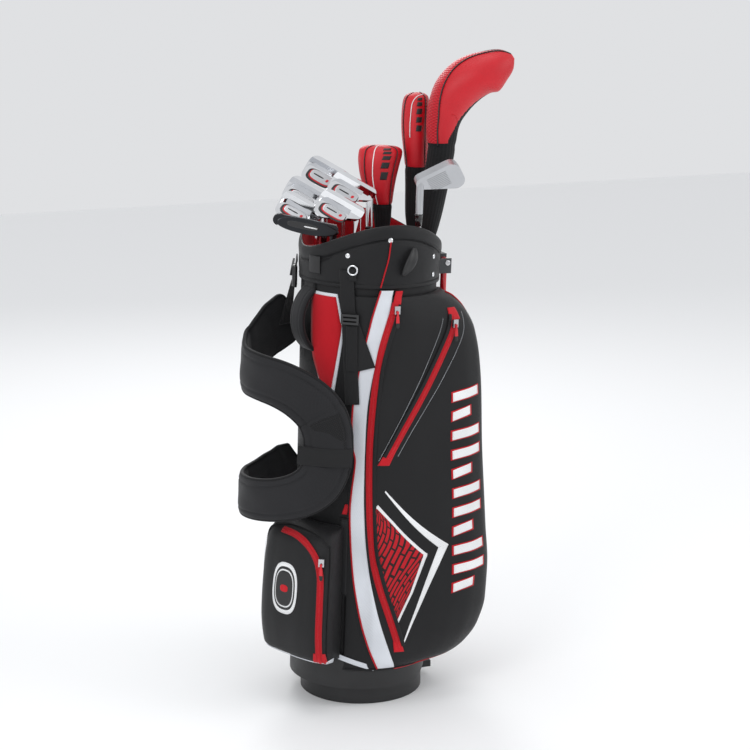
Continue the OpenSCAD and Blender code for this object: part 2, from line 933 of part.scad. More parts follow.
// Stations of each padded cover and its knit sock: [across, up, tilt, half across, half deep]
driver_sock = [[0, -34, 0, 16, 16], [0, -16, 0, 19, 19], [1, 20, 0, 22, 22], [3, 70, -3, 23, 23],
    [4, 117, -8, 24.5, 24], [0.5, 160, -8, 29, 29], [5, 195, 5, 36, 37], [16, 223, 12, 42, 43],
    [33, 245, 20, 44.5, 45], [54, 261, 34, 44, 43], [76, 279, 41, 33.5, 35],
    [94, 292, 47, 21.5, 22], [105, 299, 50, 5, 5]];
driver_body = [[1, 150, -8, 8, 8], [3, 170, -4, 18, 18], [8, 197, 5, 29, 30], [17, 222, 12, 35, 36],
    [33, 244, 20, 37.5, 38], [53, 259, 34, 36, 36], [72, 274, 41, 26, 28], [86, 284, 47, 13, 14],
    [92, 288, 50, 4, 4]];
fairway_sock = [[4, -30, 0, 15, 15], [4, 0, 0, 19, 19], [4, 50, 0, 20, 20], [3, 84, 0, 21, 25],
    [0, 118, 0, 23, 32], [-2, 148, 0, 24, 37], [-2, 172, 0, 24, 38], [-1, 192, 0, 21, 33],
    [0, 206, 0, 15, 22], [1, 212, 0, 5, 8]];
fairway_body = [[0, 95, 0, 7, 8], [0, 110, 0, 12, 16], [0, 125, 0, 18, 26], [-2, 148, 0, 19, 31],
    [-2, 170, 0, 18, 32], [-1, 186, 0, 15, 26], [0, 197, 0, 8, 14], [0, 201, 0, 3, 5]];
hybrid_sock = [[0, -32, 0, 13, 13], [0, -12, 0, 15.5, 15.5], [-1, 4, 0, 17, 18], [-6, 30, 0, 24, 23],
    [-10, 62, 0, 32, 28], [-11, 88, 0, 36, 30], [-10, 104, 0, 34, 26], [-9, 113, 0, 25, 18],
    [-8, 117, 0, 8, 6]];
hybrid_body = [[0, 30, 0, 8, 8], [-4, 44, 0, 15, 15], [-9, 62, 0, 24, 21], [-11, 86, 0, 29, 24],
    [-10, 100, 0, 25, 19], [-9, 108, 0, 10, 8]];

// Wood or hybrid head: a rounded body on a straight hosel
module wood_head(body, low) {
    steps = 16;
    color(charcoal)
        difference() {
            union() {
                filling(body, 0, steps, 24);
                translate([0, 0, low - hosel_len])
                    cylinder(r = 6.6, h = body[1][1] + 4 - low + hosel_len);
            }
            translate([0, 0, low - hosel_len - 1])
                cylinder(r = tip_r, h = 31);
        }
}

module head_cover(stations) {
    color(red)
        sock(stations, cover_t, 22, 28);
}

module driver_head() { at_club(driver_at, driver_lean) wood_head(driver_body, driver_at[2]); }
module driver_shaft() { at_club(driver_at, driver_lean) club_shaft(driver_at, driver_lean); }
module driver_grip() { at_club(driver_at, driver_lean) club_grip(driver_lean); }
module driver_cover() { at_club(driver_at, driver_lean) head_cover(driver_sock); }
module fairway_head() { at_club(fairway_at) wood_head(fairway_body, fairway_at[2]); }
module fairway_shaft() { at_club(fairway_at) club_shaft(fairway_at); }
module fairway_grip() { at_club(fairway_at) club_grip(); }
module fairway_cover() { at_club(fairway_at) head_cover(fairway_sock); }
module hybrid_head() { at_club(hybrid_at) wood_head(hybrid_body, hybrid_at[2]); }
module hybrid_shaft() { at_club(hybrid_at) club_shaft(hybrid_at); }
module hybrid_grip() { at_club(hybrid_at) club_grip(); }
module hybrid_cover() { at_club(hybrid_at) head_cover(hybrid_sock); }
module putter_head() { at_club(putter_at) putter_blade(); }
module putter_shaft() { at_club(putter_at) club_shaft(putter_at); }
module putter_grip() { at_club(putter_at) club_grip(); }

// An iron's steel shaft with its grip
module iron_shaft(place) {
    at_club(place) {
        color(steel)
            club_shaft(place);
        club_grip();
    }
}

base_foot();
base_boot();
hinge_pins();
bag_tube();
top_cuff();
divider();
stays();
leg_bracket();
actuator_rod();
leg(-1);  // leg_near
leg_tip(-1);  // leg_near_tip
leg(1);  // leg_far
leg_tip(1);  // leg_far_tip
side_pocket(1);  // side_pocket_near
side_pocket(-1);  // side_pocket_far
ball_pocket();
valuables_pocket();
carry_handle();
strap_pad(upper_pad, pad_w);  // strap_pad_upper
strap_pad(lower_pad, pad_w - 8);  // strap_pad_lower
strap_webbing();
strap_buckles();
rivets();
zippers();
zip_slider(tube_slider, on_side);  // slider_tube
zip_pull(tube_slider, on_side);  // pull_tube
zip_slider(side_slider, on_side);  // slider_side
zip_pull(side_slider, on_side);  // pull_side
zip_slider(ball_slider, on_ball);  // slider_ball
zip_pull(ball_slider, on_ball);  // pull_ball
driver_head();
driver_shaft();
driver_grip();
driver_cover();
fairway_head();
fairway_shaft();
fairway_grip();
fairway_cover();
hybrid_head();
hybrid_shaft();
hybrid_grip();
hybrid_cover();
at_club(iron_6_at) iron_head(iron_6_at, 28, 180);  // iron_6_head
iron_shaft(iron_6_at);  // iron_6_shaft
at_club(iron_7_at) iron_head(iron_7_at, 32);  // iron_7_head
iron_shaft(iron_7_at);  // iron_7_shaft
at_club(iron_8_at) iron_head(iron_8_at, 36);  // iron_8_head
iron_shaft(iron_8_at);  // iron_8_shaft
at_club(iron_9_at) iron_head(iron_9_at, 40);  // iron_9_head
iron_shaft(iron_9_at);  // iron_9_shaft
at_club(pitching_wedge_at) iron_head(pitching_wedge_at, 45);  // pitching_wedge_head
iron_shaft(pitching_wedge_at);  // pitching_wedge_shaft
at_club(sand_wedge_at) iron_head(sand_wedge_at, 50);  // sand_wedge_head
iron_shaft(sand_wedge_at);  // sand_wedge_shaft
putter_head();
putter_shaft();
putter_grip();
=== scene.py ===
"""Looks of a golf stand bag with its clubs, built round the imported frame. Metres, +Z up."""

import math

import bpy
import numpy as np
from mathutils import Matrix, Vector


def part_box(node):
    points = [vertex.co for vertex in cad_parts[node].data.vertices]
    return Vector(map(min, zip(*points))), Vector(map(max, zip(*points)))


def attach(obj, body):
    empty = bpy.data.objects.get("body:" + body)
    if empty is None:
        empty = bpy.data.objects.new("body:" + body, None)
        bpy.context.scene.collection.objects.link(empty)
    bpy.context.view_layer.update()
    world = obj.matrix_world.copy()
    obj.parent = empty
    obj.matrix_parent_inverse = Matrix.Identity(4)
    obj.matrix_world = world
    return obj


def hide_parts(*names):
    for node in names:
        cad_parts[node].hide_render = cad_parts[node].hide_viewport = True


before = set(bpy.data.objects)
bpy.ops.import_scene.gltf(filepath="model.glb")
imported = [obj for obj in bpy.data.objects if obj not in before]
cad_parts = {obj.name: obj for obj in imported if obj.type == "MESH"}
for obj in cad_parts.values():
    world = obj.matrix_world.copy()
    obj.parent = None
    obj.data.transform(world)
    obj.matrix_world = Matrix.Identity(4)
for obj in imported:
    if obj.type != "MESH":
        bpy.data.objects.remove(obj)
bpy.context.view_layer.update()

MM = 0.001
# The bag leans back a little, and the clubs' grid is turned in its mouth as the camera is
LEAN = math.radians(2)
TURN = math.radians(-22)
# Sizes of the bag in its own frame, in millimetres
BAG_H = 877.0
RIM_DIP = 50.0
CUFF_Z = 765.0
CUFF_R = 125.8
TUBE_R = 120.0
BOOT_R = 124.3
# How far from the axis the clubs' places are measured
REACH = 107.2
# Height in metres at which the grips end and the shafts start
GRIP_TOP = 0.3236


# ---------- camera, light and floor ----------

def look():
    """Camera at standing height, to the strap side of the bag's front."""
    camera = bpy.data.cameras.new("camera")
    camera.lens = 99.17
    camera.sensor_width = 36
    eye = bpy.data.objects.new("camera", camera)
    eye.location = (-1.3269, -3.3790, 1.430)
    eye.rotation_euler = (math.radians(90 - 13.065), 0, TURN)
    bpy.context.scene.collection.objects.link(eye)
    bpy.context.scene.camera = eye


def lamp(name, place, aim, size, watts):
    """Square soft box at a place, turned to face a point."""
    light = bpy.data.lights.new(name, "AREA")
    light.size = size
    light.energy = watts
    box = bpy.data.objects.new(name, light)
    box.location = place
    way = np.array(aim, float) - np.array(place, float)
    flat = math.hypot(way[0], way[1])
    box.rotation_euler = (math.pi / 2 + math.atan2(way[2], flat), 0, math.atan2(-way[0], way[1]))
    bpy.context.scene.collection.objects.link(box)


look()
lamp("key_light", (-2.6, -2.2, 2.6), (0, 0, 0.6), 1.5, 33)
lamp("side_light", (2.4, -1.6, 1.9), (0, 0, 0.7), 1.6, 21)
lamp("top_light", (0.1, -0.2, 3.2), (0, 0, 0.8), 1.4, 12)
lamp("back_light", (0.6, 2.6, 2.2), (0, 0, 0.8), 1.2, 20)
world = bpy.data.worlds.new("studio")
world.use_nodes = True
world.node_tree.nodes["Background"].inputs["Color"].default_value = (0.93, 0.94, 0.96, 1)
world.node_tree.nodes["Background"].inputs["Strength"].default_value = 0.8
bpy.context.scene.world = world
bpy.context.scene.view_settings.view_transform = "Standard"


# ---------- shader groups ----------

def group(name, takes, gives):
    """Empty shader group with named sockets: takes is {name: (kind, value)}, gives is [name]."""
    tree = bpy.data.node_groups.new(name, "ShaderNodeTree")
    for key, (kind, value) in takes.items():
        socket = tree.interface.new_socket(key, in_out="INPUT", socket_type="NodeSocket" + kind)
        if value is not None:
            socket.default_value = value
    for key in gives:
        tree.interface.new_socket(key, in_out="OUTPUT", socket_type="NodeSocketFloat")
    return tree, tree.nodes.new("NodeGroupInput").outputs, tree.nodes.new("NodeGroupOutput").inputs


def put(value, socket, tree):
    """Sets a socket to a number, or links it to another socket."""
    if isinstance(value, bpy.types.NodeSocket):
        tree.links.new(value, socket)
    else:
        socket.default_value = value


def sums(tree, how, *values):
    """Math node on numbers or sockets."""
    node = tree.nodes.new("ShaderNodeMath")
    node.operation = how
    for value, socket in zip(values, node.inputs):
        put(value, socket, tree)
    return node.outputs[0]


def spread(tree, value, low, high, to_low=0.0, to_high=1.0):
    """Map Range of a value, clamped."""
    node = tree.nodes.new("ShaderNodeMapRange")
    for v, socket in zip((value, low, high, to_low, to_high), node.inputs):
        put(v, socket, tree)
    return node.outputs[0]


def noise(tree, vector, scale, detail=3.0, rough=0.55):
    """Noise texture on a vector, from 0 to 1."""
    node = tree.nodes.new("ShaderNodeTexNoise")
    put(vector, node.inputs["Vector"], tree)
    put(scale, node.inputs["Scale"], tree)
    node.inputs["Detail"].default_value = detail
    node.inputs["Roughness"].default_value = rough
    return node.outputs["Fac"]


def weave_group():
    """Plain weave in metres of a piece's own UV: threads rise and dip as sin(u) sin(v), with slubs. Its Shade
    output is painted shade in the thread dips and painted light on their crests, plus the slubs' real tone.
    """
    tree, take, give = group("weave", {"UV": ("Vector", None), "Pitch": ("Float", 0.001),
                                       "Slub": ("Float", 0.3)}, ["Height", "Shade"])
    scale = tree.nodes.new("ShaderNodeVectorMath")
    scale.operation = "SCALE"
    put(take["UV"], scale.inputs[0], tree)
    put(sums(tree, "DIVIDE", math.pi, take["Pitch"]), scale.inputs["Scale"], tree)
    split = tree.nodes.new("ShaderNodeSeparateXYZ")
    tree.links.new(scale.outputs[0], split.inputs[0])
    over = sums(tree, "MULTIPLY", sums(tree, "SINE", split.outputs[0]),
                sums(tree, "SINE", split.outputs[1]))
    slub = noise(tree, take["UV"], 260.0, 2.0)
    mixed = sums(tree, "ADD", over, sums(tree, "MULTIPLY", slub, take["Slub"]))
    put(mixed, give["Height"], tree)
    # Shade: painted shade in the thread dips and painted light on the crests, with real slub tone
    put(spread(tree, mixed, -0.7, 1.0, 0.72, 1.12), give["Shade"], tree)
    return tree


def folds_group():
    """Soft slack of cloth over foam: two sizes of stretched noise on object coordinates, with painted shade
    in the wide folds' hollows and painted light on their crests.
    """
    tree, take, give = group("folds", {"Scale": ("Float", 9.0)}, ["Height", "FoldShade"])
    where = tree.nodes.new("ShaderNodeTexCoord").outputs["Object"]
    wide = noise(tree, where, take["Scale"], 2.0, 0.4)
    fine = noise(tree, where, sums(tree, "MULTIPLY", take["Scale"], 4.0), 2.0, 0.4)
    put(sums(tree, "ADD", wide, sums(tree, "MULTIPLY", fine, 0.25)), give["Height"], tree)
    # Colour factor from the wide fold noise: painted shade in the fold hollows, painted light on the crests
    put(spread(tree, wide, 0.3, 0.7, 0.86, 1.12), give["FoldShade"], tree)
    return tree


def grain_group():
    """Fine pebbled grain of leather or moulded plastic, and a slow change of sheen."""
    tree, take, give = group("grain", {"Scale": ("Float", 900.0)}, ["Height", "Rub"])
    where = tree.nodes.new("ShaderNodeTexCoord").outputs["Object"]
    cells = tree.nodes.new("ShaderNodeTexVoronoi")
    cells.feature = "SMOOTH_F1"
    put(where, cells.inputs["Vector"], tree)
    put(take["Scale"], cells.inputs["Scale"], tree)
    put(cells.outputs["Distance"], give["Height"], tree)
    put(noise(tree, where, 14.0, 4.0), give["Rub"], tree)
    return tree


GROUPS = {"weave": weave_group(), "folds": folds_group(), "grain": grain_group()}


# ---------- materials ----------

def used(tree, name, **values):
    """One of the shader groups, placed in a material with its own values."""
    node = tree.nodes.new("ShaderNodeGroup")
    node.node_tree = GROUPS[name]
    for key, value in values.items():
        put(value, node.inputs[key], tree)
    return node.outputs


def start(name, colour, rough, metal=0.0, sheen=0.0, coat=0.0):
    """New material with its constants on the shader's own sockets."""
    material = bpy.data.materials.new(name)
    material.use_nodes = True
    tree = material.node_tree
    shader = tree.nodes["Principled BSDF"]
    shader.inputs["Base Color"].default_value = (*colour, 1)
    shader.inputs["Roughness"].default_value = rough
    shader.inputs["Metallic"].default_value = metal
    if sheen:
        shader.inputs["Sheen Weight"].default_value = sheen
        shader.inputs["Sheen Roughness"].default_value = 0.5
        shader.inputs["Specular IOR Level"].default_value = 0.28
    if coat:
        shader.inputs["Coat Weight"].default_value = coat
        shader.inputs["Coat Roughness"].default_value = 0.08
    return material, tree, shader


def shaded(tree, colour, *factors):
    """Colour times one or more factors, as a colour socket."""
    node = tree.nodes.new("ShaderNodeVectorMath")
    node.operation = "SCALE"
    if isinstance(colour, bpy.types.NodeSocket):
        tree.links.new(colour, node.inputs[0])
    else:
        node.inputs[0].default_value = colour
    factor = factors[0]
    for other in factors[1:]:
        factor = sums(tree, "MULTIPLY", factor, other)
    put(factor, node.inputs["Scale"], tree)
    return node.outputs[0]


def raised(tree, shader, height, distance, strength=1.0):
    """Bump of a height in metres, on the shader's normal."""
    bump = tree.nodes.new("ShaderNodeBump")
    bump.inputs["Distance"].default_value = distance
    bump.inputs["Strength"].default_value = strength
    put(height, bump.inputs["Height"], tree)
    tree.links.new(bump.outputs[0], shader.inputs["Normal"])


def mixed(tree, share, first, second):
    """Colour between two, by a share."""
    node = tree.nodes.new("ShaderNodeMix")
    node.data_type = "RGBA"
    put(share, node.inputs["Factor"], tree)
    for value, socket in ((first, node.inputs["A"]), (second, node.inputs["B"])):
        if isinstance(value, bpy.types.NodeSocket):
            tree.links.new(value, socket)
        else:
            socket.default_value = (*value, 1)
    return node.outputs["Result"]


def cloth(name, colour, pitch=0.0011, rough=0.62, sheen=0.25, weave=0.00012, slack=0.0, scale=9.0):
    """Woven cloth: thread bump on the piece's UV, slack folds, and a colour with painted shade in the thread
    dips and fold hollows, lighter on their crests.
    """
    material, tree, shader = start(name, colour, rough, sheen=sheen)
    uv = tree.nodes.new("ShaderNodeUVMap").outputs[0]
    threads = used(tree, "weave", UV=uv, Pitch=pitch)
    slacks = used(tree, "folds", Scale=scale)
    # Base colour times the weave's painted shade and the folds' painted shade and light
    tree.links.new(shaded(tree, colour, threads["Shade"], slacks["FoldShade"]), shader.inputs["Base Color"])
    tree.links.new(spread(tree, threads["Shade"], 0.7, 1.1, rough + 0.1, rough - 0.06),
                   shader.inputs["Roughness"])
    height = sums(tree, "ADD", sums(tree, "MULTIPLY", threads["Height"], weave),
                  sums(tree, "MULTIPLY", slacks["Height"], slack))
    raised(tree, shader, height, 1.0)
    return material


def hide(name, colour, rough=0.38, scale=800.0, coat=0.0, grain=0.0002, sheen=0.0):
    """Synthetic leather, rubber or moulded plastic: pebbled grain, and a sheen rubbed in places."""
    material, tree, shader = start(name, colour, rough, sheen=sheen, coat=coat)
    pebbles = used(tree, "grain", Scale=scale)
    tree.links.new(spread(tree, pebbles["Rub"], 0.3, 0.7, rough + 0.08, rough - 0.06),
                   shader.inputs["Roughness"])
    tree.links.new(shaded(tree, colour, spread(tree, pebbles["Rub"], 0.3, 0.7, 0.9, 1.1)),
                   shader.inputs["Base Color"])
    raised(tree, shader, sums(tree, "MULTIPLY", pebbles["Height"], grain), 1.0)
    return material


def metal(name, colour, rough, coat=0.0, brushed=0.0, metallic=1.0):
    """Bare or plated metal: faint smears, with fine lines across object Z where it is brushed."""
    material, tree, shader = start(name, colour, rough, metallic, coat=coat)
    where = tree.nodes.new("ShaderNodeTexCoord").outputs["Object"]
    smear = noise(tree, where, 30.0, 5.0)
    tree.links.new(spread(tree, smear, 0.3, 0.7, max(rough - 0.04, 0.02), rough + 0.06),
                   shader.inputs["Roughness"])
    tree.links.new(shaded(tree, colour, spread(tree, smear, 0.3, 0.7, 0.93, 1.03)),
                   shader.inputs["Base Color"])
    if brushed:
        mapping = tree.nodes.new("ShaderNodeMapping")
        mapping.inputs["Scale"].default_value = (30, 30, 2600)
        tree.links.new(where, mapping.inputs[0])
        lines = noise(tree, mapping.outputs[0], 1.0, 2.0)
        raised(tree, shader, sums(tree, "MULTIPLY", lines, brushed), 1.0)
    return material


def ribbed(name, colour, pitch=0.0018, rough=0.6):
    """Webbing or knit: ribs along the piece, crossed by finer threads, with painted shade in the grooves and
    painted light on the ribs.
    """
    material, tree, shader = start(name, colour, rough, sheen=0.05)
    uv = tree.nodes.new("ShaderNodeUVMap").outputs[0]
    split = tree.nodes.new("ShaderNodeSeparateXYZ")
    tree.links.new(uv, split.inputs[0])
    ribs = sums(tree, "SINE", sums(tree, "MULTIPLY", split.outputs[0], 2 * math.pi / pitch))
    loops = sums(tree, "SINE", sums(tree, "MULTIPLY", split.outputs[1], 2 * math.pi / (0.8 * pitch)))
    height = sums(tree, "ADD", ribs, sums(tree, "MULTIPLY", loops, 0.4))
    # Painted shade between the ribs and loops, painted light on their crests
    tree.links.new(shaded(tree, colour, spread(tree, height, -1.4, 1.4, 0.6, 1.25)),
                   shader.inputs["Base Color"])
    raised(tree, shader, sums(tree, "MULTIPLY", height, 0.0002), 1.0)
    return material


def bar_print(name, ground, line):
    """Printed panel: a net of thin bent bars over a plain ground, on the piece's own UV."""
    material, tree, shader = start(name, ground, 0.5, sheen=0.05)
    uv = tree.nodes.new("ShaderNodeUVMap").outputs[0]
    turn = tree.nodes.new("ShaderNodeMapping")
    turn.inputs["Rotation"].default_value = (0, 0, 0.62)
    tree.links.new(uv, turn.inputs[0])
    bricks = tree.nodes.new("ShaderNodeTexBrick")
    bricks.offset = 0.37
    tree.links.new(turn.outputs[0], bricks.inputs["Vector"])
    for key, value in (("Scale", 22.0), ("Mortar Size", 0.045), ("Mortar Smooth", 0.0),
                       ("Brick Width", 0.86), ("Row Height", 0.24)):
        bricks.inputs[key].default_value = value
    threads = used(tree, "weave", UV=uv, Pitch=0.0011)
    colour = mixed(tree, bricks.outputs["Fac"], ground, line)
    # Print colour times the weave's painted shade in the thread dips and painted light on the crests
    tree.links.new(shaded(tree, colour, threads["Shade"]), shader.inputs["Base Color"])
    raised(tree, shader, sums(tree, "MULTIPLY", threads["Height"], 0.0001), 1.0)
    return material


def club_shaft_finish(name, tube, metallic, rough):
    """Shaft tube above, rubber grip below the height where the grip ends."""
    material, tree, shader = start(name, tube, rough, metallic)
    where = tree.nodes.new("ShaderNodeTexCoord").outputs["Object"]
    split = tree.nodes.new("ShaderNodeSeparateXYZ")
    tree.links.new(where, split.inputs[0])
    steel = sums(tree, "GREATER_THAN", split.outputs[2], GRIP_TOP)
    smear = noise(tree, where, 40.0, 3.0)
    tree.links.new(mixed(tree, steel, (0.012, 0.012, 0.013), tube), shader.inputs["Base Color"])
    tree.links.new(sums(tree, "MULTIPLY", steel, metallic), shader.inputs["Metallic"])
    tree.links.new(sums(tree, "ADD", spread(tree, steel, 0.0, 1.0, 0.75, rough),
                        sums(tree, "MULTIPLY", smear, 0.06)), shader.inputs["Roughness"])
    return material


BLACK = (0.006, 0.006, 0.007)
RED = (0.56, 0.003, 0.012)
nylon = cloth("black_nylon", BLACK, slack=0.0014, sheen=0.03, rough=0.5)
panel_nylon = cloth("panel_nylon", (0.0065, 0.0065, 0.0075), slack=0.001, sheen=0.03, rough=0.46, scale=6)
pad_cloth = cloth("pad_cloth", (0.013, 0.013, 0.015), pitch=0.0016, sheen=0.12, rough=0.7, slack=0.0008)
patch_cloth = cloth("patch_cloth", (0.008, 0.008, 0.009), pitch=0.0022, sheen=0.06, rough=0.7, weave=0.0003)
binding = cloth("edge_binding", (0.005, 0.005, 0.006), pitch=0.0014, sheen=0.03, rough=0.6)
silver = cloth("silver_cloth", (0.72, 0.75, 0.80), pitch=0.0012, sheen=0.1, rough=0.42, weave=0.00008)
white_print = cloth("white_print", (0.86, 0.87, 0.88), pitch=0.0012, sheen=0.0, rough=0.5, weave=0.00008)
red_cloth = cloth("red_cloth", RED, sheen=0.05, rough=0.55)
velour = cloth("red_velour", (0.50, 0.002, 0.01), pitch=0.0016, sheen=0.12, rough=0.8, slack=0.001)
net_print = bar_print("net_print", (0.52, 0.003, 0.012), (0.02, 0.004, 0.005))
webbing = ribbed("webbing_rib", (0.009, 0.009, 0.010))
knit = ribbed("sock_knit", (0.007, 0.007, 0.008), 0.0042, 0.8)
red_knit = ribbed("red_tape", (0.54, 0.003, 0.012), 0.0016, 0.6)
cover_hide = hide("cover_red", (0.54, 0.002, 0.011), 0.48, 900, grain=0.00012)
cover_mesh = cloth("cover_mesh", (0.56, 0.006, 0.018), pitch=0.0028, sheen=0.1, rough=0.42, weave=0.0004)
black_hide = hide("cover_black", (0.012, 0.012, 0.013), 0.42, 900)
moulded = hide("moulded_black", (0.010, 0.010, 0.011), 0.46, 1400, grain=0.00018)
moulded_grey = hide("moulded_grey", (0.040, 0.043, 0.048), 0.42, 1400, grain=0.00015)
soft_rubber = hide("soft_rubber", (0.012, 0.012, 0.012), 0.6, 900, grain=0.0002)
red_rubber = hide("red_rubber", (0.58, 0.010, 0.02), 0.45, 900)
gloss_black = hide("gloss_black", (0.010, 0.010, 0.011), 0.18, 500, grain=0.00003, coat=0.5)
leg_red = hide("leg_red", (0.56, 0.003, 0.012), 0.2, 300, grain=0.00002, coat=0.8)
chrome = metal("plated_chrome", (0.83, 0.84, 0.86), 0.07)
satin = metal("satin_steel", (0.50, 0.51, 0.53), 0.34, brushed=0.00005)
pin_metal = metal("pin_metal", (0.55, 0.55, 0.57), 0.25)
dark_metal = metal("dark_metal", (0.035, 0.037, 0.041), 0.32, coat=0.2)
black_metal = metal("black_metal", (0.02, 0.02, 0.022), 0.3)
steel_club = club_shaft_finish("steel_club", (0.72, 0.73, 0.75), 1.0, 0.14)
graphite = club_shaft_finish("graphite_club", (0.025, 0.026, 0.03), 0.1, 0.22)
badge_red = hide("badge_red", (0.6, 0.01, 0.02), 0.3, 400, grain=0.00002)
badge_silver = metal("badge_silver", (0.62, 0.63, 0.65), 0.28)


# ---------- shapes ----------

def placed(points):
    """Bag frame in millimetres to the shared frame in metres: the bag leans about Y by 2 degrees."""
    x, y, z = np.moveaxis(np.asarray(points, float), -1, 0) * MM
    c, s = math.cos(LEAN), math.sin(LEAN)
    return np.stack([x * c + z * s, y, -x * s + z * c], -1)


def smooth(rows, x):
    """Monotone cubic reading of a table of [place, value] rows."""
    xs, ys = np.array(rows, float).T
    x = np.clip(x, xs[0], xs[-1])
    rise = np.diff(ys) / np.diff(xs)
    slope = np.concatenate([[rise[0]], np.zeros(len(xs) - 2), [rise[-1]]])
    same = rise[:-1] * rise[1:] > 0
    slope[1:-1][same] = (2 * rise[:-1] * rise[1:] / np.where(same, rise[:-1] + rise[1:], 1))[same]
    i = np.clip(np.searchsorted(xs, x) - 1, 0, len(xs) - 2)
    h = xs[i + 1] - xs[i]
    t = (x - xs[i]) / h
    return (ys[i] * (1 + 2 * t) * (1 - t) ** 2 + slope[i] * h * t * (1 - t) ** 2
            + ys[i + 1] * t * t * (3 - 2 * t) + slope[i + 1] * h * t * t * (t - 1))


def curve(rows, t):
    """Catmull-Rom curve through a table of rows, t from 0 to 1."""
    rows = np.array(rows, float)
    n = len(rows) - 1
    t = np.asarray(t, float) * n
    i = np.clip(np.floor(t).astype(int), 0, n - 1)
    f = (t - i)[..., None]
    a, b = rows[np.maximum(i - 1, 0)], rows[i]
    c, d = rows[i + 1], rows[np.minimum(i + 2, n)]
    return 0.5 * (2 * b + (c - a) * f + (2 * a - 5 * b + 4 * c - d) * f ** 2
                  + (3 * b - a - 3 * c + d) * f ** 3)


def waves(points, size, seed=1):
    """Gentle random relief, about -1 to 1: a sum of eight sine waves about as long as the size."""
    rng = np.random.default_rng(seed)
    total = 0
    for _ in range(8):
        way = rng.normal(size=3)
        way *= rng.uniform(0.6, 1.5) * 2 * math.pi / (size * np.linalg.norm(way))
        total = total + np.sin(points @ way + rng.uniform(0, 6.28))
    return total / 4


def unit(v):
    """Vectors at length one."""
    return v / np.maximum(np.linalg.norm(v, axis=-1, keepdims=True), 1e-12)


def level(points):
    """Unit directions straight out from the bag's axis."""
    return unit(points * [1, 1, 0])


def circle(n):
    """Angles of n even steps round a circle, in radians."""
    return np.arange(n) * 2 * math.pi / n


def squared(values, power):
    """Signed power of a sine or cosine: under 1 it squares a circle off, as a superellipse does."""
    return np.sign(values) * np.abs(values) ** power


def lengths(points, axis):
    """Running length along one direction of a grid, taken on its middle line."""
    middle = points.take(points.shape[1 - axis] // 2, 1 - axis)
    return np.concatenate([[0], np.cumsum(np.linalg.norm(np.diff(middle, axis=0), axis=-1))])


def finish_mesh(name, points, faces, uvs, body, materials, picks=None, flat=False):
    """Puts computed arrays into a mesh object that rides on a body."""
    mesh = bpy.data.meshes.new(name)
    mesh.from_pydata(points.tolist(), [], [list(f) for f in faces])
    layer = mesh.uv_layers.new(name="UVMap")
    layer.data.foreach_set("uv", np.asarray(uvs, np.float32).ravel())
    mesh.polygons.foreach_set("use_smooth", np.full(len(mesh.polygons), not flat))
    for material in materials:
        mesh.materials.append(material)
    if picks is not None:
        mesh.polygons.foreach_set("material_index", np.asarray(picks, np.int32))
    mesh.update()
    piece = bpy.data.objects.new(name, mesh)
    bpy.context.scene.collection.objects.link(piece)
    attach(piece, body)
    return piece


def skin(name, points, materials, body="bag", ring=False, loop=False, caps=(False, False),
         pick=None, flip=None, flat=False):
    """Surface over a grid of points [along, round, xyz] in bag millimetres. ring closes it round,
    loop closes it along, caps close its first and last rings, and pick gives each quad's finish."""
    grid = placed(points)
    v, u = grid.shape[:2]
    rows, cols = v - (not loop), u - (not ring)
    i, k = np.meshgrid(np.arange(rows), np.arange(cols), indexing="ij")
    corner = [(i, k), (i, k + 1), (i + 1, k + 1), (i + 1, k)]
    quads = np.stack([(a % v) * u + (b % u) for a, b in corner], -1).reshape(-1, 4)
    closed_u = np.concatenate([grid, grid[:, :1]], 1) if ring else grid
    closed = np.concatenate([closed_u, closed_u[:1]], 0) if loop else closed_u
    su, sv = lengths(closed, 1), lengths(closed, 0)
    uv = np.stack([np.stack([su[b], sv[a]], -1) for a, b in corner], -2).reshape(-1, 4, 2)
    picks = None if pick is None else pick(i, k).reshape(-1)
    faces, coords = quads.tolist(), uv.reshape(-1, 2).tolist()
    flat_grid = grid.reshape(-1, 3)
    if caps[0]:
        faces.append(list(range(u))[::-1])
    if caps[1]:
        faces.append(list(range((v - 1) * u, v * u)))
    for face in faces[len(quads):]:
        middle = flat_grid[face].mean(0)
        coords += (flat_grid[face] - middle)[:, :2].tolist()
    if picks is not None:
        picks = np.concatenate([picks, np.full(len(faces) - len(quads), picks[-1])])
    turned = flip
    if flip is None:
        turned = inside_out(flat_grid, faces) if (ring and (loop or all(caps))) else False
    if turned:
        count, place, backwards = 0, [], []
        for face in faces:
            backwards.append(face[::-1])
            place += coords[count:count + len(face)][::-1]
            count += len(face)
        faces, coords = backwards, place
    return finish_mesh(name, flat_grid, faces, coords, body, materials, picks, flat)


def inside_out(points, faces):
    """Whether the faces of a closed shape enclose a negative volume."""
    quads = np.array([f for f in faces if len(f) == 4])
    a, b, c, d = (points[quads[:, n]] for n in range(4))
    volume = (np.cross(a, b) * c).sum() + (np.cross(a, c) * d).sum()
    for face in (f for f in faces if len(f) > 4):
        fan = points[face]
        volume += (np.cross(np.broadcast_to(fan[0], fan[1:-1].shape), fan[1:-1]) * fan[2:]).sum()
    return volume < 0


def normals(points):
    """Unit normals of a grid, from its two directions."""
    return unit(np.cross(np.gradient(points, axis=1), np.gradient(points, axis=0)))


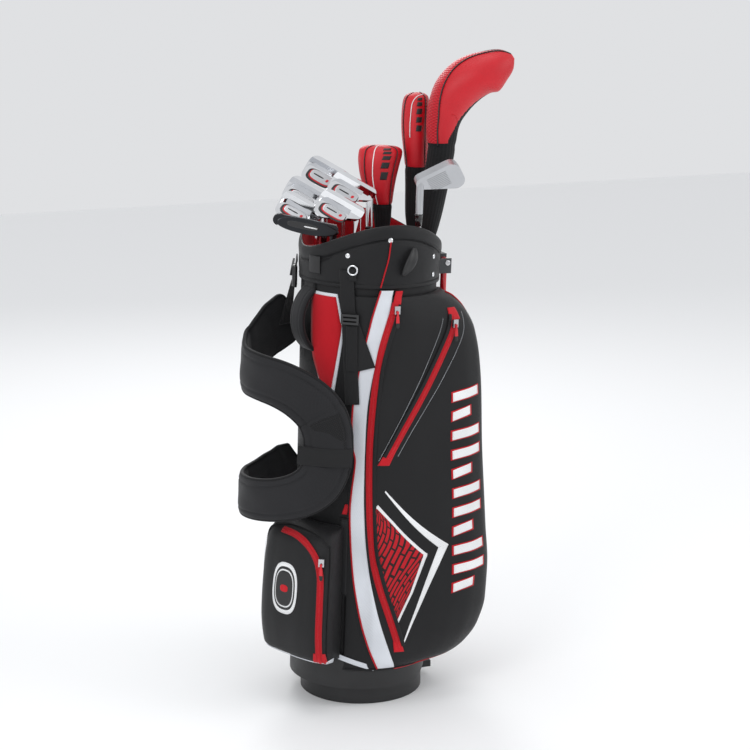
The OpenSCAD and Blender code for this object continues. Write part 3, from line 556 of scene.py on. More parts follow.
def pillow(name, sheet, thick, materials, body="bag", edge=0.3, power=4.0, relief=0, pick=None,
           outward=None):
    """Padded slab about a grid of points: its half thickness swells from the rim by
    (1 - |2s-1|^power)^(1/2) in both directions, and relief is added to its outer face."""
    v, u = sheet.shape[:2]
    s = np.linspace(0, 1, u)[None, :]
    t = np.linspace(0, 1, v)[:, None]
    swell = np.sqrt(np.maximum(1 - np.abs(2 * s - 1) ** power, 0)
                    * np.maximum(1 - np.abs(2 * t - 1) ** power, 0))
    half = (thick / 2 * (edge + (1 - edge) * swell))[..., None]
    out = normals(sheet)
    if outward is not None and (out * outward).sum() < 0:
        out = -out
    bump = relief[..., None] if isinstance(relief, np.ndarray) else relief
    front, back = sheet + out * (half + bump), sheet - out * half
    points = placed(np.concatenate([front.reshape(-1, 3), back.reshape(-1, 3)]))
    index = np.arange(v * u).reshape(v, u)
    rim = np.concatenate([index[0], index[1:, -1], index[-1, -2::-1], index[-2:0:-1, 0]])
    quad = np.stack([index[:-1, :-1], index[:-1, 1:], index[1:, 1:], index[1:, :-1]], -1).reshape(-1, 4)
    after = np.roll(rim, -1)
    sides = np.stack([rim, rim + v * u, after + v * u, after], -1)
    faces = np.concatenate([quad, quad[:, ::-1] + v * u, sides])
    grid = placed(sheet)
    su, sv = lengths(grid, 1), lengths(grid, 0)
    flat_uv = np.stack(np.meshgrid(su, sv), -1).reshape(-1, 2)
    uv = np.concatenate([flat_uv, flat_uv])[faces]
    if inside_out(points, faces.tolist()):
        faces, uv = faces[:, ::-1], uv[:, ::-1]
    picks = None
    if pick is not None:
        one = pick(v - 1, u - 1).reshape(-1)
        picks = np.concatenate([one, one, np.zeros(len(sides), int)])
    return finish_mesh(name, points, faces.tolist(), uv.reshape(-1, 2), body, materials, picks)


def frames_along(path, outs=None, loop=False):
    """Tangents, and two directions across them, along a path."""
    if loop:
        along = unit(np.roll(path, -1, 0) - np.roll(path, 1, 0))
    else:
        along = unit(np.gradient(path, axis=0))
    if outs is None:
        hint = np.array([0.0, 0.0, 1.0])
        if abs(along @ hint).max() > 0.95:
            hint = np.array([math.cos(0.7), math.sin(0.7), 0.05])
        outs = np.broadcast_to(hint, path.shape)
    one = unit(outs - along * (along * outs).sum(-1, keepdims=True))
    return along, one, np.cross(along, one)


def piping(name, path, radius, material, body="bag", loop=False, outs=None, sides=8, squeeze=1.0):
    """Round cord along a path: rings of a circle, squeezed across where it is a flat tape."""
    path = np.asarray(path, float)
    _, one, two = frames_along(path, outs, loop)
    angle = circle(sides)
    ring = (one[:, None] * np.cos(angle)[:, None] * radius * squeeze
            + two[:, None] * np.sin(angle)[:, None] * radius)
    points = path[:, None] + ring
    return skin(name, points, [material], body, ring=True, loop=loop,
                caps=(not loop, not loop))


def tape(name, path, outs, width, thick, material, body="bag", crown=0.0):
    """Flat band along a path on a surface: a rounded oblong carried along it, its middle crowned."""
    path = np.asarray(path, float)
    _, one, two = frames_along(path, outs)
    w, h = width / 2, thick / 2
    section = np.array([[-w, -0.6 * h], [-0.96 * w, -h], [0, -h], [0.96 * w, -h], [w, -0.6 * h],
                        [w, 0.6 * h], [0.94 * w, h], [0.5 * w, h + 0.75 * crown], [0, h + crown],
                        [-0.5 * w, h + 0.75 * crown], [-0.94 * w, h], [-w, 0.6 * h]])
    points = (path[:, None] + two[:, None] * section[:, 0][None, :, None]
              + one[:, None] * section[:, 1][None, :, None])
    return skin(name, points, [material], body, ring=True, caps=(True, True))


def beads(name, path, outs, step, size, material, body="bag", turn=0.0, sideways=0.0):
    """Row of small rounded bars along a path: stitches or zipper teeth. size is (along, across, high)."""
    path = np.asarray(path, float)
    run = np.concatenate([[0], np.cumsum(np.linalg.norm(np.diff(path, axis=0), axis=-1))])
    count = max(int(run[-1] / step), 2)
    at = np.linspace(step / 2, run[-1] - step / 2, count)
    centre = np.stack([np.interp(at, run, path[:, c]) for c in range(3)], -1)
    along, one, two = frames_along(path, outs)
    al, on, tw = (unit(np.stack([np.interp(at, run, d[:, c]) for c in range(3)], -1))
                  for d in (along, one, two))
    c, s = math.cos(turn), math.sin(turn)
    al, tw = al * c + tw * s, tw * c - al * s
    centre = centre + tw * sideways
    ring = np.array([[-1, 0], [-0.5, 0.9], [0.5, 0.9], [1, 0], [0.5, -0.9], [-0.5, -0.9]]) * 0.5
    ends = np.array([[-0.5, 0.6], [-0.35, 1.0], [0.35, 1.0], [0.5, 0.6]])
    shape = np.stack([np.stack([np.full(6, e), ring[:, 0] * k, ring[:, 1] * k], -1) for e, k in ends])
    shape = shape.reshape(-1, 3) * np.array([size[0], size[1], size[2]])
    points = (centre[:, None] + al[:, None] * shape[None, :, :1] + tw[:, None] * shape[None, :, 1:2]
              + on[:, None] * shape[None, :, 2:])
    i, k = np.meshgrid(np.arange(3), np.arange(6), indexing="ij")
    quads = np.stack([i * 6 + k, i * 6 + (k + 1) % 6, (i + 1) * 6 + (k + 1) % 6, (i + 1) * 6 + k],
                     -1).reshape(-1, 4)
    one_bead = quads.tolist() + [[5, 4, 3, 2, 1, 0], [18, 19, 20, 21, 22, 23]]
    if inside_out(points[0], one_bead):
        one_bead = [f[::-1] for f in one_bead]
    faces = [[p + 24 * n for p in f] for n in range(count) for f in one_bead]
    uv = np.zeros((sum(len(f) for f in one_bead) * count, 2))
    return finish_mesh(name, placed(points.reshape(-1, 3)), faces, uv, body, [material])


# ---------- the bag's surfaces ----------

SIDE_PLAN = [[-124, -0.005], [-122.6, 0.0], [-110, 0.0], [-105, 0.012], [-102, 0.03], [-96, 0.05],
             [-90, 0.07], [-82, 0.12], [-75, 0.19], [-66, 0.31], [-58, 0.48], [-51, 0.68], [-44, 0.88],
             [-36, 1.0], [-29, 0.95], [-24, 0.82], [-21, 0.62], [-19.5, 0.35], [-18.5, 0.02]]
SIDE_FILL = [[0, 0.05], [0.02, 0.42], [0.06, 0.72], [0.11, 0.92], [0.18, 1.03], [0.27, 1.04],
             [0.38, 0.98], [0.55, 0.88], [0.7, 0.82], [0.83, 0.74], [0.9, 0.64], [0.95, 0.46],
             [0.985, 0.22], [1, 0.03]]
BALL_PLAN = [[-184, 0.05], [-182, 0.6], [-179, 0.97], [-174, 1.02], [-166, 0.97], [-155, 0.94],
             [-144, 0.97], [-136, 1.02], [-131, 0.97], [-128, 0.6], [-126.5, 0.05]]
BALL_FILL = [[0, 0.2], [0.02, 0.75], [0.06, 0.95], [0.3, 1.06], [0.7, 0.98], [0.88, 0.86], [0.95, 0.7],
             [0.985, 0.45], [1, 0.12]]
SIDE_LOW, SIDE_HIGH = 68.0, 751.0
BALL_LOW, BALL_HIGH = 90.0, 336.0


def round_axis(angle, z, r):
    """Points at an angle in degrees, a height and a radius about the bag's axis."""
    a = np.radians(angle)
    return np.stack(np.broadcast_arrays(r * np.cos(a), r * np.sin(a), z), -1)


def slackened(points, angle, z, span, rise, seed):
    """Cloth that bulges and sags by a few millimetres inside its sewn edges."""
    a = np.clip((angle - span[0]) / (span[1] - span[0]), 0, 1)
    t = np.clip((z - span[2]) / (span[3] - span[2]), 0, 1)
    hold = (np.sin(np.pi * a) * np.sin(np.pi * t)) ** 0.5
    relief = rise * hold * waves(points * [1, 1, 0.5], 110, seed)
    return points + level(points) * relief[..., None]


def side_surface(angle, z):
    """Front of the clothing pocket: radius = base + bulge x fill(height) x plan(angle)."""
    angle, z = np.broadcast_arrays(np.asarray(angle, float), np.asarray(z, float))
    full = smooth(SIDE_FILL, (z - SIDE_LOW) / (SIDE_HIGH - SIDE_LOW))
    lift = smooth([[-124, -3.4], [-122.6, -1.0], [-110, -0.8], [-104, 0.8], [-100, 4.0], [-18, 4.0]],
                  angle)
    thin = 1.0 + lift * np.minimum(1, 2 * full)
    points = round_axis(angle, z, BOOT_R + thin + 104 * full * smooth(SIDE_PLAN, angle))
    return slackened(points, angle, z, (-124, -18.5, SIDE_LOW, SIDE_HIGH), 2.2, 11)


def ball_surface(angle, z):
    """Front of the ball pocket, made the same way."""
    angle, z = np.broadcast_arrays(np.asarray(angle, float), np.asarray(z, float))
    full = smooth(BALL_FILL, (z - BALL_LOW) / (BALL_HIGH - BALL_LOW))
    points = round_axis(angle, z, BOOT_R + 2 + 64 * full * smooth(BALL_PLAN, angle))
    return slackened(points, angle, z, (-184, -126.5, BALL_LOW, BALL_HIGH), 2.0, 5)


def cuff_surface(angle, z):
    """Outside of the padded cuff, a shallow barrel."""
    share = (np.asarray(z, float) - CUFF_Z) / (BAG_H - CUFF_Z)
    return round_axis(angle, z, CUFF_R - 0.8 + 1.4 * np.sin(np.pi * np.clip(share, 0, 1)))


def tube_surface(angle, z):
    """Outside of the fabric tube, just proud of its slack folds."""
    return round_axis(angle, z, TUBE_R + 0.6 + 0 * np.asarray(z, float))


def on_it(surface, path, lift=0.0):
    """Points of a path of [angle, height] rows on a surface, lifted along its normal, and the normals."""
    path = np.asarray(path, float)
    a, z = path[..., 0], path[..., 1]
    out = unit(np.cross(surface(a + 0.5, z) - surface(a - 0.5, z), surface(a, z + 2) - surface(a, z - 2)))
    return surface(a, z) + out * lift, out


def patch(name, surface, left, right, lift, material, across=6, along=24, thick=0.7, body="bag"):
    """Piece sewn on a surface between two edges of [angle, height] rows, its rim turned down."""
    t = np.linspace(0, 1, along)
    a, b = curve(left, t), curve(right, t)
    s = np.linspace(0, 1, across)[None, :, None]
    where = a[:, None] * (1 - s) + b[:, None] * s
    points, out = on_it(surface, where, lift)
    down = points - out * (thick + lift)
    points = np.concatenate([points[:1], points, points[-1:]], 0)
    points = np.concatenate([points[:, :1], points, points[:, -1:]], 1)
    points[0, 1:-1], points[-1, 1:-1] = down[0], down[-1]
    points[1:-1, 0], points[1:-1, -1] = down[:, 0], down[:, -1]
    for i, k in ((0, 0), (0, -1), (-1, 0), (-1, -1)):
        points[i, k] = down[i, k]
    middle = points.shape[0] // 2, points.shape[1] // 2
    face = np.cross(points[middle[0], middle[1] + 1] - points[middle],
                    points[middle[0] + 1, middle[1]] - points[middle])
    return skin(name, points, [material], body, flip=bool(face @ out[len(out) // 2, 0] < 0))


def mirrored(surface):
    """The same surface on the far side of the bag."""
    def other(angle, z):
        return surface(-np.asarray(angle, float), z) * np.array([1, -1, 1])
    return other


# ---------- tube, cuff and lining ----------

def build_tube():
    """Fabric tube: a ring profile carried round the axis, with slack folds on its outside."""
    angle = np.linspace(0, 360, 145)[:-1]
    z = np.linspace(58.6, 791.5, 110)
    a, h = np.meshgrid(angle, z)
    outer = round_axis(a, h, TUBE_R + 0 * a)
    outer = round_axis(a, h, TUBE_R + 0.1 + 0.9 * waves(outer * [1, 1, 0.45], 90, 3))
    inner = round_axis(a, h, TUBE_R - 2.5 + 0 * a)
    points = np.concatenate([outer, inner[::-1]])
    piece = skin("bag_tube_skin", points, [nylon, velour], ring=True, loop=True,
                 pick=lambda i, k: (i >= 110).astype(int))
    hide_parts("bag_tube")


def rim_height(angle):
    """Height of the rim: a long arc that dips at the strap and leg sides."""
    dip_r = (CUFF_R ** 2 + RIM_DIP ** 2) / (2 * RIM_DIP)
    return BAG_H - dip_r + np.sqrt(dip_r ** 2 - (CUFF_R * np.cos(np.radians(angle))) ** 2)


def build_cuff():
    """Padded cuff: a closed profile of base roll, barrel, groove, rolled rim and lining."""
    angle = np.linspace(0, 360, 181)[:-1]
    rows = [(0.0, 122.2), (0.004, 124.6), (0.02, 125.6), (0.06, 125.6), (0.075, 124.9),
            (0.09, 124.6), (0.12, 125.3), (0.3, 125.9), (0.5, 126.1), (0.66, 125.7)]
    band = [(-27.5, 125.2), (-26.0, 124.2), (-25.2, 123.9), (-24.4, 124.3), (-23, 125.7), (-19, 127.2),
            (-13, 127.7), (-7, 127.3), (-2.6, 126.0), (-0.6, 124.2), (0.2, 122.6), (-0.8, 121.2),
            (-5, 120.7), (-14, 120.6), (-26, 120.6)]
    lining = [0.6, 0.3, 0.05, 0.0]
    top = rim_height(angle)
    rings = []
    for share, r in rows:
        z = CUFF_Z + share * (top - CUFF_Z)
        rings.append(round_axis(angle, z, r + 0 * angle))
    for drop, r in band:
        rings.append(round_axis(angle, top + drop, r + 0 * angle))
    for share in lining:
        rings.append(round_axis(angle, CUFF_Z + share * (top - CUFF_Z), 120.5 + 0 * angle))
    points = np.stack(rings)
    relief = 0.5 * waves(points, 45, 7)
    padded_rings = np.arange(len(points)) < len(rows) + 14
    points = points + level(points) * relief[..., None] * padded_rings[:, None, None]
    edge = len(rows) + 11
    piece = skin("cuff_skin", points, [panel_nylon, velour], ring=True, loop=True,
                 pick=lambda i, k: (i >= edge).astype(int))
    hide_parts("top_cuff")
    seam = round_axis(angle, top - 25.2, 124.8 + 0 * angle)
    piping("cuff_rim_seam", seam, 0.7, binding, loop=True)
    for name, drop in (("cuff_stitch_low", -29.5), ("cuff_stitch_high", -21.5)):
        path = round_axis(angle, top + drop, 126.0 + (0.6 if drop > -25 else 0.2) + 0 * angle)
        beads(name, path, level(path), 3.6, (2.4, 0.5, 0.4), pad_cloth)
    piping("cuff_base_seam", round_axis(angle, CUFF_Z + 7.5 + 0 * angle, 125.0 + 0 * angle), 0.8, binding,
           loop=True)


def build_cuff_trim():
    """Moulded patch and lift handle on the cuff, and its red piping."""
    s = np.linspace(-1, 1, 15)
    u, v = np.meshgrid(s, s)
    corner = np.maximum(np.abs(u), np.abs(v))
    fade = np.where(corner > 0.72, 0.4, 1.0) + np.where((np.abs(u) + np.abs(v)) < 0.5, 0.7, 0)
    centre = cuff_surface(-161 + 6.4 * u, 799 + 15.5 * v)
    pillow("cuff_patch", centre + level(centre) * 1.1, 2.0, [moulded],
           edge=0.5, power=8, relief=0.5 * fade, outward=level(centre))
    t = np.linspace(0, 1, 25)
    width = 9.5 * np.sin(np.pi * t) ** 0.55 + 0.6
    lean = (t - 0.5) * -9.0
    across = np.linspace(-1, 1, 11)
    angle = -80.5 + lean[:, None] + across[None] * np.degrees(width[:, None] / 127)
    height = 838 - 50 * t[:, None] + 0 * across[None]
    leaf = cuff_surface(angle, height)
    out = level(leaf)
    rise = 3.0 + 8.5 * np.sin(np.pi * t)[:, None] ** 0.8 + 0 * across[None]
    pillow("lift_handle", leaf + out * rise[..., None], 5.2, [moulded], edge=0.35,
           power=3, relief=-0.9 * np.exp(-(across[None] / 0.3) ** 2) + 0 * t[:, None], outward=out)
    path = [[-95.6, 849], [-97, 820], [-100, 792], [-102.6, 768]]
    line, out = on_it(cuff_surface, curve(path, np.linspace(0, 1, 40)), 0.8)
    piping("cuff_red_piping", line, 1.3, red_knit, outs=out)


# ---------- pockets ----------

def pocket_shell(name, surface, angles, heights, back_r, materials, node):
    """Stuffed pocket: front surface, turned at its sides to a back that lies round the tube."""
    a, z = np.meshgrid(angles, heights)
    front = surface(a, z)
    back = round_axis(a, z, back_r + 0 * a)[:, ::-1]
    piece = skin(name, np.concatenate([front, back], 1), materials, ring=True, caps=(True, True))
    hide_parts(node)
    return piece


def spaced(table, extra=6):
    """Angles or shares of a table with extra steps between."""
    xs = [row[0] for row in table]
    out = [np.linspace(a, b, extra, endpoint=False) for a, b in zip(xs, xs[1:])]
    return np.concatenate(out + [[xs[-1]]])


def sew(name, surface, path, material, radius=1.4, lift=0.6, steps=70, stitched=True):
    """Piping along a seam with a row of stitches beside it."""
    line, out = on_it(surface, curve(path, np.linspace(0, 1, steps)), lift)
    piping(name, line, radius, material, outs=out)
    if stitched:
        beads(name + "_stitches", line, out, 4.0, (2.6, 0.55, 0.5), pad_cloth, sideways=radius + 3.2)


def zipper(name, surface, path, width=13.0, steps=90, lift=1.2):
    """Zipper on a surface: flat red tape, two rows of teeth and its edge stitches; its lip is made apart."""
    line, out = on_it(surface, curve(path, np.linspace(0, 1, steps)), lift)
    piece = tape(name + "_tape", line, out, width, 1.2, red_knit, crown=0.0)
    teeth = line + out * 0.8
    for side, turn in ((-0.9, 0.5), (0.9, -0.5)):
        beads(name + ("_teeth_left" if side < 0 else "_teeth_right"), teeth, out, 2.1, (1.1, 2.4, 1.5),
              red_rubber, turn=turn, sideways=side)
    for side in (-1, 1):
        beads(name + ("_sewing_left" if side < 0 else "_sewing_right"), line + out * 0.5, out, 3.4,
              (2.2, 0.4, 0.4), pad_cloth, sideways=side * (width / 2 - 1.2))
    return piece


def lip(name, surface, path, shift, width, lift=2.0, steps=70):
    """Folded fabric lip that half covers a zipper, beside its line."""
    line, out = on_it(surface, curve(path, np.linspace(0, 1, steps)), lift)
    _, one, two = frames_along(line, out)
    tape(name, line + two * shift, out, width, 1.6, panel_nylon, crown=0.5)


LONG_ZIP = [[-90.5, 741], [-96, 700], [-100.5, 659], [-104, 595], [-106, 531], [-106.8, 470], [-106, 400],
            [-104.2, 330], [-101, 270], [-95.5, 222], [-89, 177], [-80, 113]]
STRIPE_LEFT = [[-102.5, 763], [-108, 720], [-111, 690], [-114.5, 655], [-118.5, 610], [-121.6, 560],
               [-122.2, 520], [-120.8, 480], [-118.6, 455], [-120.8, 400], [-121.6, 360], [-120, 300],
               [-116.5, 230], [-110, 160], [-101, 100], [-95.5, 72]]
STRIPE_RIGHT = [[-92, 763], [-96, 720], [-99.5, 690], [-102.5, 655], [-106.5, 610], [-109.6, 560],
                [-110.6, 520], [-110.8, 480], [-110.9, 455], [-110.6, 400], [-109.8, 360], [-107.6, 300],
                [-102.5, 230], [-95, 160], [-86, 100], [-80.5, 72]]


def build_side_pocket(s):
    """Clothing pocket; s is 1 for the near side and -1 for its mirror image."""
    tag = "near" if s > 0 else "far"
    surface = side_surface if s > 0 else mirrored(side_surface)
    angles = spaced(SIDE_PLAN, 7)
    heights = SIDE_LOW + spaced(SIDE_FILL, 7) * (SIDE_HIGH - SIDE_LOW)
    if s < 0:
        angles = -angles
    pocket_shell("side_pocket_%s_shell" % tag, surface, angles, heights, 121.6,
                 [panel_nylon], "side_pocket_" + tag)
    def turn(rows):
        return [[s * a, z] for a, z in rows]
    edge = [[-30, 747], [-26.8, 735], [-25, 700], [-24.4, 640], [-24.2, 500], [-24.2, 300], [-24.6, 180],
            [-26, 120], [-32, 86], [-45, 74], [-62, 70], [-80, 69]]
    line, out = on_it(surface, curve(turn(edge), np.linspace(0, 1, 110)), 0.8)
    piping("side_edge_piping_" + tag, line, 1.5, red_knit, outs=out)
    second = [[a - 4.2, z - (6 if z > 740 else 0)] for a, z in edge[:-2]]
    line, out = on_it(surface, curve(turn(second), np.linspace(0, 1, 110)), 0.5)
    beads("side_edge_stitches_" + tag, line, out, 4.0, (2.6, 0.5, 0.5), pad_cloth)
    patch("stripe_" + tag, surface, turn(STRIPE_LEFT), turn(STRIPE_RIGHT), 0.7, silver,
          across=9, along=150)
    sew("stripe_piping_" + tag, surface, turn(STRIPE_LEFT), red_knit, 1.5, 0.9, 150)
    hem = [[a, 70.5] for a in np.linspace(-122, -30, 30)]
    sew("side_hem_" + tag, surface, turn(hem), binding, 1.5, 0.2, 60)


def build_near_zippers():
    """Long zipper beside the stripe, and the slanting one, with lips, ends and stitches."""
    piece = zipper("long_zipper", side_surface, LONG_ZIP, steps=150)
    lip("long_zipper_lip", side_surface, LONG_ZIP, -9.0, 7.0, steps=120)
    slant = [[-48, 715], [-56.5, 657.5], [-65.6, 600], [-74.8, 550], [-85, 502], [-93, 464]]
    zipper("slant_zipper", side_surface, slant, width=12)
    lip("slant_zipper_lip", side_surface, slant, 8.0, 6.0)
    for side in (-1, 1):
        beside = [[a + side * 7.2, z + side * 4] for a, z in slant]
        line, out = on_it(side_surface, curve(beside, np.linspace(0, 1, 80)), 0.5)
        beads("slant_stitches_%d" % (side + 1), line, out, 3.6, (2.6, 0.6, 0.5), silver)
    zipper("ball_zipper", ball_surface, [[-133, 96], [-133, 150], [-133, 210], [-133.6, 262], [-137, 292],
                                         [-144, 311], [-154, 320], [-166, 322]], width=12)
    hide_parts("zippers")
    ends = [("long_zip_top", side_surface, [-87.0, 762], [-91.4, 722], 17),
            ("long_zip_foot", side_surface, [-81.5, 124], [-79.4, 104], 18),
            ("slant_zip_top", side_surface, [-47, 727], [-48.6, 708], 16),
            ("slant_zip_foot", side_surface, [-89.5, 486], [-96.5, 452], 21),
            ("ball_zip_foot", ball_surface, [-133, 116], [-133, 95], 17)]
    for name, surface, high, low, width in ends:
        half = width / 2 / 2.4
        left = [[high[0] - half * 0.8, high[1]], [low[0] - half, low[1]]]
        right = [[high[0] + half * 0.8, high[1]], [low[0] + half, low[1]]]
        patch(name, surface, left, right, 1.9, red_cloth, along=12)


def straight(rows, each=9):
    """Rows of a bent line with more rows between, so that its corners stay sharp."""
    rows = np.array(rows, float)
    t = np.linspace(0, 1, each, endpoint=False)[:, None]
    parts = [a * (1 - t) + b * t for a, b in zip(rows, rows[1:])]
    return np.concatenate(parts + [rows[-1:]]).tolist()


def build_prints():
    """Printed and sewn-on panels of the clothing pocket, all plain shapes."""
    border_l = [[-101.8, 374], [-101.4, 330], [-99.5, 280], [-94.5, 230], [-88, 182], [-84.5, 152]]
    border_r = [[-99.6, 380], [-88, 350], [-72.5, 308], [-65.0, 287], [-73, 215], [-83, 148]]
    patch("chevron_white", side_surface, straight(border_l), straight(border_r), 0.5, white_print,
          14, 60)
    inner_l = [[a + 0.2, z - 1.0] for a, z in border_l]
    inner_r = [[-100.2, 373], [-88.8, 345], [-74.0, 304.5], [-67.2, 286], [-74.6, 215], [-84.0, 154]]
    patch("net_panel", side_surface, straight(inner_l), straight(inner_r), 0.9, net_print,
          14, 60)
    tip_out, tip_in = [-55.2, 304], [-59.8, 299]
    for tag, far_out, far_in in (("upper", [-94.2, 406], [-94.6, 403]),
                                 ("lower", [-76.2, 118], [-76.8, 121])):
        patch("chevron_outer_" + tag, side_surface, [far_in, tip_in], [far_out, tip_out], 0.7, white_print,
              6, 70)
    low, high, count = 214.0, 598.0, 11
    bar_edge, bar_width, slant, mm_per_degree = -53.0, 12.8, 11, 2.6
    pitch = (high - low) / count
    bar_high = 0.44 * pitch
    for n in range(count):
        z0 = low + n * pitch
        wide = 1.0 if n % 3 else 0.62
        for part, grow, lift, material in (("edge", 2.0, 0.6, red_cloth), ("face", 0.0, 1.0, white_print)):
            a0 = bar_edge - grow / mm_per_degree
            a1 = bar_edge + bar_width * wide + grow / mm_per_degree
            left = [[a0, z0 - grow], [a0, z0 + bar_high + grow]]
            right = [[a1, z0 + slant - grow], [a1, z0 + slant + bar_high + grow]]
            patch("bar_%s_%d" % (part, n), side_surface, left, right, lift, material, 12, 8)


def build_ball_pocket():
    """Ball pocket with its piping, plain badge and hems, and the valuables zipper's end patch; its own zipper
    is made with the near zippers.
    """
    angles = spaced(BALL_PLAN, 7)
    heights = BALL_LOW + np.linspace(0, 1, 60) * (BALL_HIGH - BALL_LOW)
    surface = ball_surface
    pocket_shell("ball_pocket_shell", surface, angles, heights, 120.6, [panel_nylon],
                 "ball_pocket")
    seam = [[-181, 100], [-180.4, 200], [-179.5, 300], [-176, 322], [-165, 330], [-150, 330], [-138, 326],
            [-131.5, 314], [-129.6, 300], [-129.4, 200], [-129.6, 100]]
    sew("ball_seam", surface, seam, binding, 1.6, 0.4, 110)
    t = circle(48)
    layers = [("edge", 1.0, 1, 0.9, white_print), ("gap", 0.84, 1, 1.3, black_hide),
              ("rim", 0.74, 1, 1.7, white_print), ("field", 0.68, 1, 2.1, black_hide),
              ("bar", 0.3, 0.45, 2.5, red_cloth)]
    for part, grow, squash, lift, material in layers:
        x = squared(np.cos(t), 0.75) * 11.0 * 0.82 * grow
        y = squared(np.sin(t), 0.75) * 47 * grow * squash
        rings = [on_it(surface, np.stack([-157 + x * share, 222 + y * share], -1), lift)[0]
                 for share in np.linspace(0.02, 1, 9)]
        rings.append(on_it(surface, np.stack([-157 + x, 222 + y], -1), -0.5)[0])
        skin("badge_" + part, np.stack(rings), [material], ring=True, caps=(True, False),
             flip=False)
    hem = [[a, 93.5] for a in np.linspace(-183, -128, 30)]
    line, out = on_it(surface, np.array(hem) + [0, 3.0], 1.2)
    tape("ball_hem", line, out, 9, 1.4, silver)
    t = np.linspace(0, 1, 30)[:, None]
    front = np.array([-129.5, 94.0]) * (1 - t) + np.array([-97.5, 72.0]) * t
    line, out = on_it(lambda a, z: round_axis(a, z, BOOT_R + 1.6 + 0 * a), front, 0.0)
    tape("front_hem", line, out, 9, 1.6, silver)
    patch("valuables_zip_end", tube_surface, [[-126.2, 376], [-128.6, 358]],
          [[-122.4, 376], [-124.2, 358]], 2.6, red_cloth, 6, 8)


def build_valuables_pocket():
    """Shallow pocket between the ball pocket and the stripe; the end patch of its short zipper is made with
    the ball pocket.
    """
    angles = np.linspace(-130.2, -121.6, 16)
    def surface(angle, z):
        angle, z = np.broadcast_arrays(np.asarray(angle, float), np.asarray(z, float))
        side = np.clip(np.minimum(angle + 130.4, -121.4 - angle) / 2, 0, 1) ** 0.5
        tall = np.clip(np.minimum(z - 205, 352 - z) / 9, 0, 1) ** 0.5
        return round_axis(angle, z, 121.2 + 5.6 * side * tall)
    pocket_shell("valuables_shell", surface, angles, np.linspace(206, 351, 40), 120.6, [nylon],
                 "valuables_pocket")


def build_spine_panel():
    """Red padded panel with a pale border beside the spine handle."""
    left = [[-166, 752], [-166, 700], [-163, 640], [-150, 572]]
    right = [[-138.6, 752], [-133.4, 706], [-132.0, 682], [-139.5, 572]]
    patch("spine_border", tube_surface, left, right, 1.2, silver, 10, 50, thick=1.4)
    inner_l = [[-166.4, 746.5], [-166.4, 700], [-163.4, 640], [-149.6, 580]]
    inner_r = [[-139.6, 746.5], [-135.4, 706], [-134.2, 684], [-142.0, 580]]
    patch("spine_panel", tube_surface, inner_l, inner_r, 2.6, velour, 10, 50, thick=1.4)


# ---------- handle and straps ----------

# Rows: angle round the oval, its half length and half width there
PAD_OVAL = [[-248, 92, 112], [-240, 106, 116], [-238, 112, 118], [-228, 140, 122], [-210, 165, 124],
            [-185, 168, 124], [-160, 168, 124], [-135, 165, 130], [-112, 162, 140], [-90, 160, 144]]
# Rows: angle, height and width of the pads' line, from the upper tip through the hub to the lower tip
YOKE = [[-242, 686, 106], [-236, 676, 108], [-228, 660, 106], [-218, 641, 98], [-208, 626, 90],
        [-185, 609, 84], [-160, 603, 82], [-142, 595, 84], [-128, 578, 86], [-117.5, 552, 88],
        [-112.5, 520, 88], [-111.5, 496, 88], [-111.5, 478, 88], [-112.5, 454, 86], [-117.5, 424, 84],
        [-128, 401, 80], [-142, 388, 76], [-160, 381, 74], [-185, 378, 73], [-210, 379, 73],
        [-228, 392, 74], [-238, 408, 76], [-246, 424, 76]]


def yoke_sheet(t, s, shift=0.0):
    """Grid on the yoke: shares t along its line and s (-0.5 to 0.5) across it, laid round the oval."""
    row = curve(YOKE, t)
    oval = np.array(PAD_OVAL, float)
    a = np.interp(row[:, 0], oval[:, 0], oval[:, 1])
    b = np.interp(row[:, 0], oval[:, 0], oval[:, 2])
    turn = np.radians(row[:, 0])
    line = np.stack([-60 + a * np.cos(turn), b * np.sin(turn), row[:, 1]], -1)
    out = unit(np.stack([np.cos(turn) / a, np.sin(turn) / b, 0 * a], -1))
    along = unit(np.gradient(line, axis=0))
    up = unit(np.cross(out, along))
    wide = row[:, 2] * (1 - 0.34 * np.exp(-(t / 0.022) ** 2) - 0.34 * np.exp(-((1 - t) / 0.022) ** 2))
    sheet = line[:, None] + up[:, None] * (s[None, :, None] * wide[:, None, None])
    x, y = sheet[..., 0] + 60, sheet[..., 1]
    reach = 1 / np.sqrt((x / a[:, None]) ** 2 + (y / b[:, None]) ** 2)
    sheet[..., 0], sheet[..., 1] = x * reach - 60, y * reach
    outs = unit(np.stack([x / a[:, None] ** 2, y / b[:, None] ** 2, 0 * x], -1))
    return sheet + outs * shift, outs


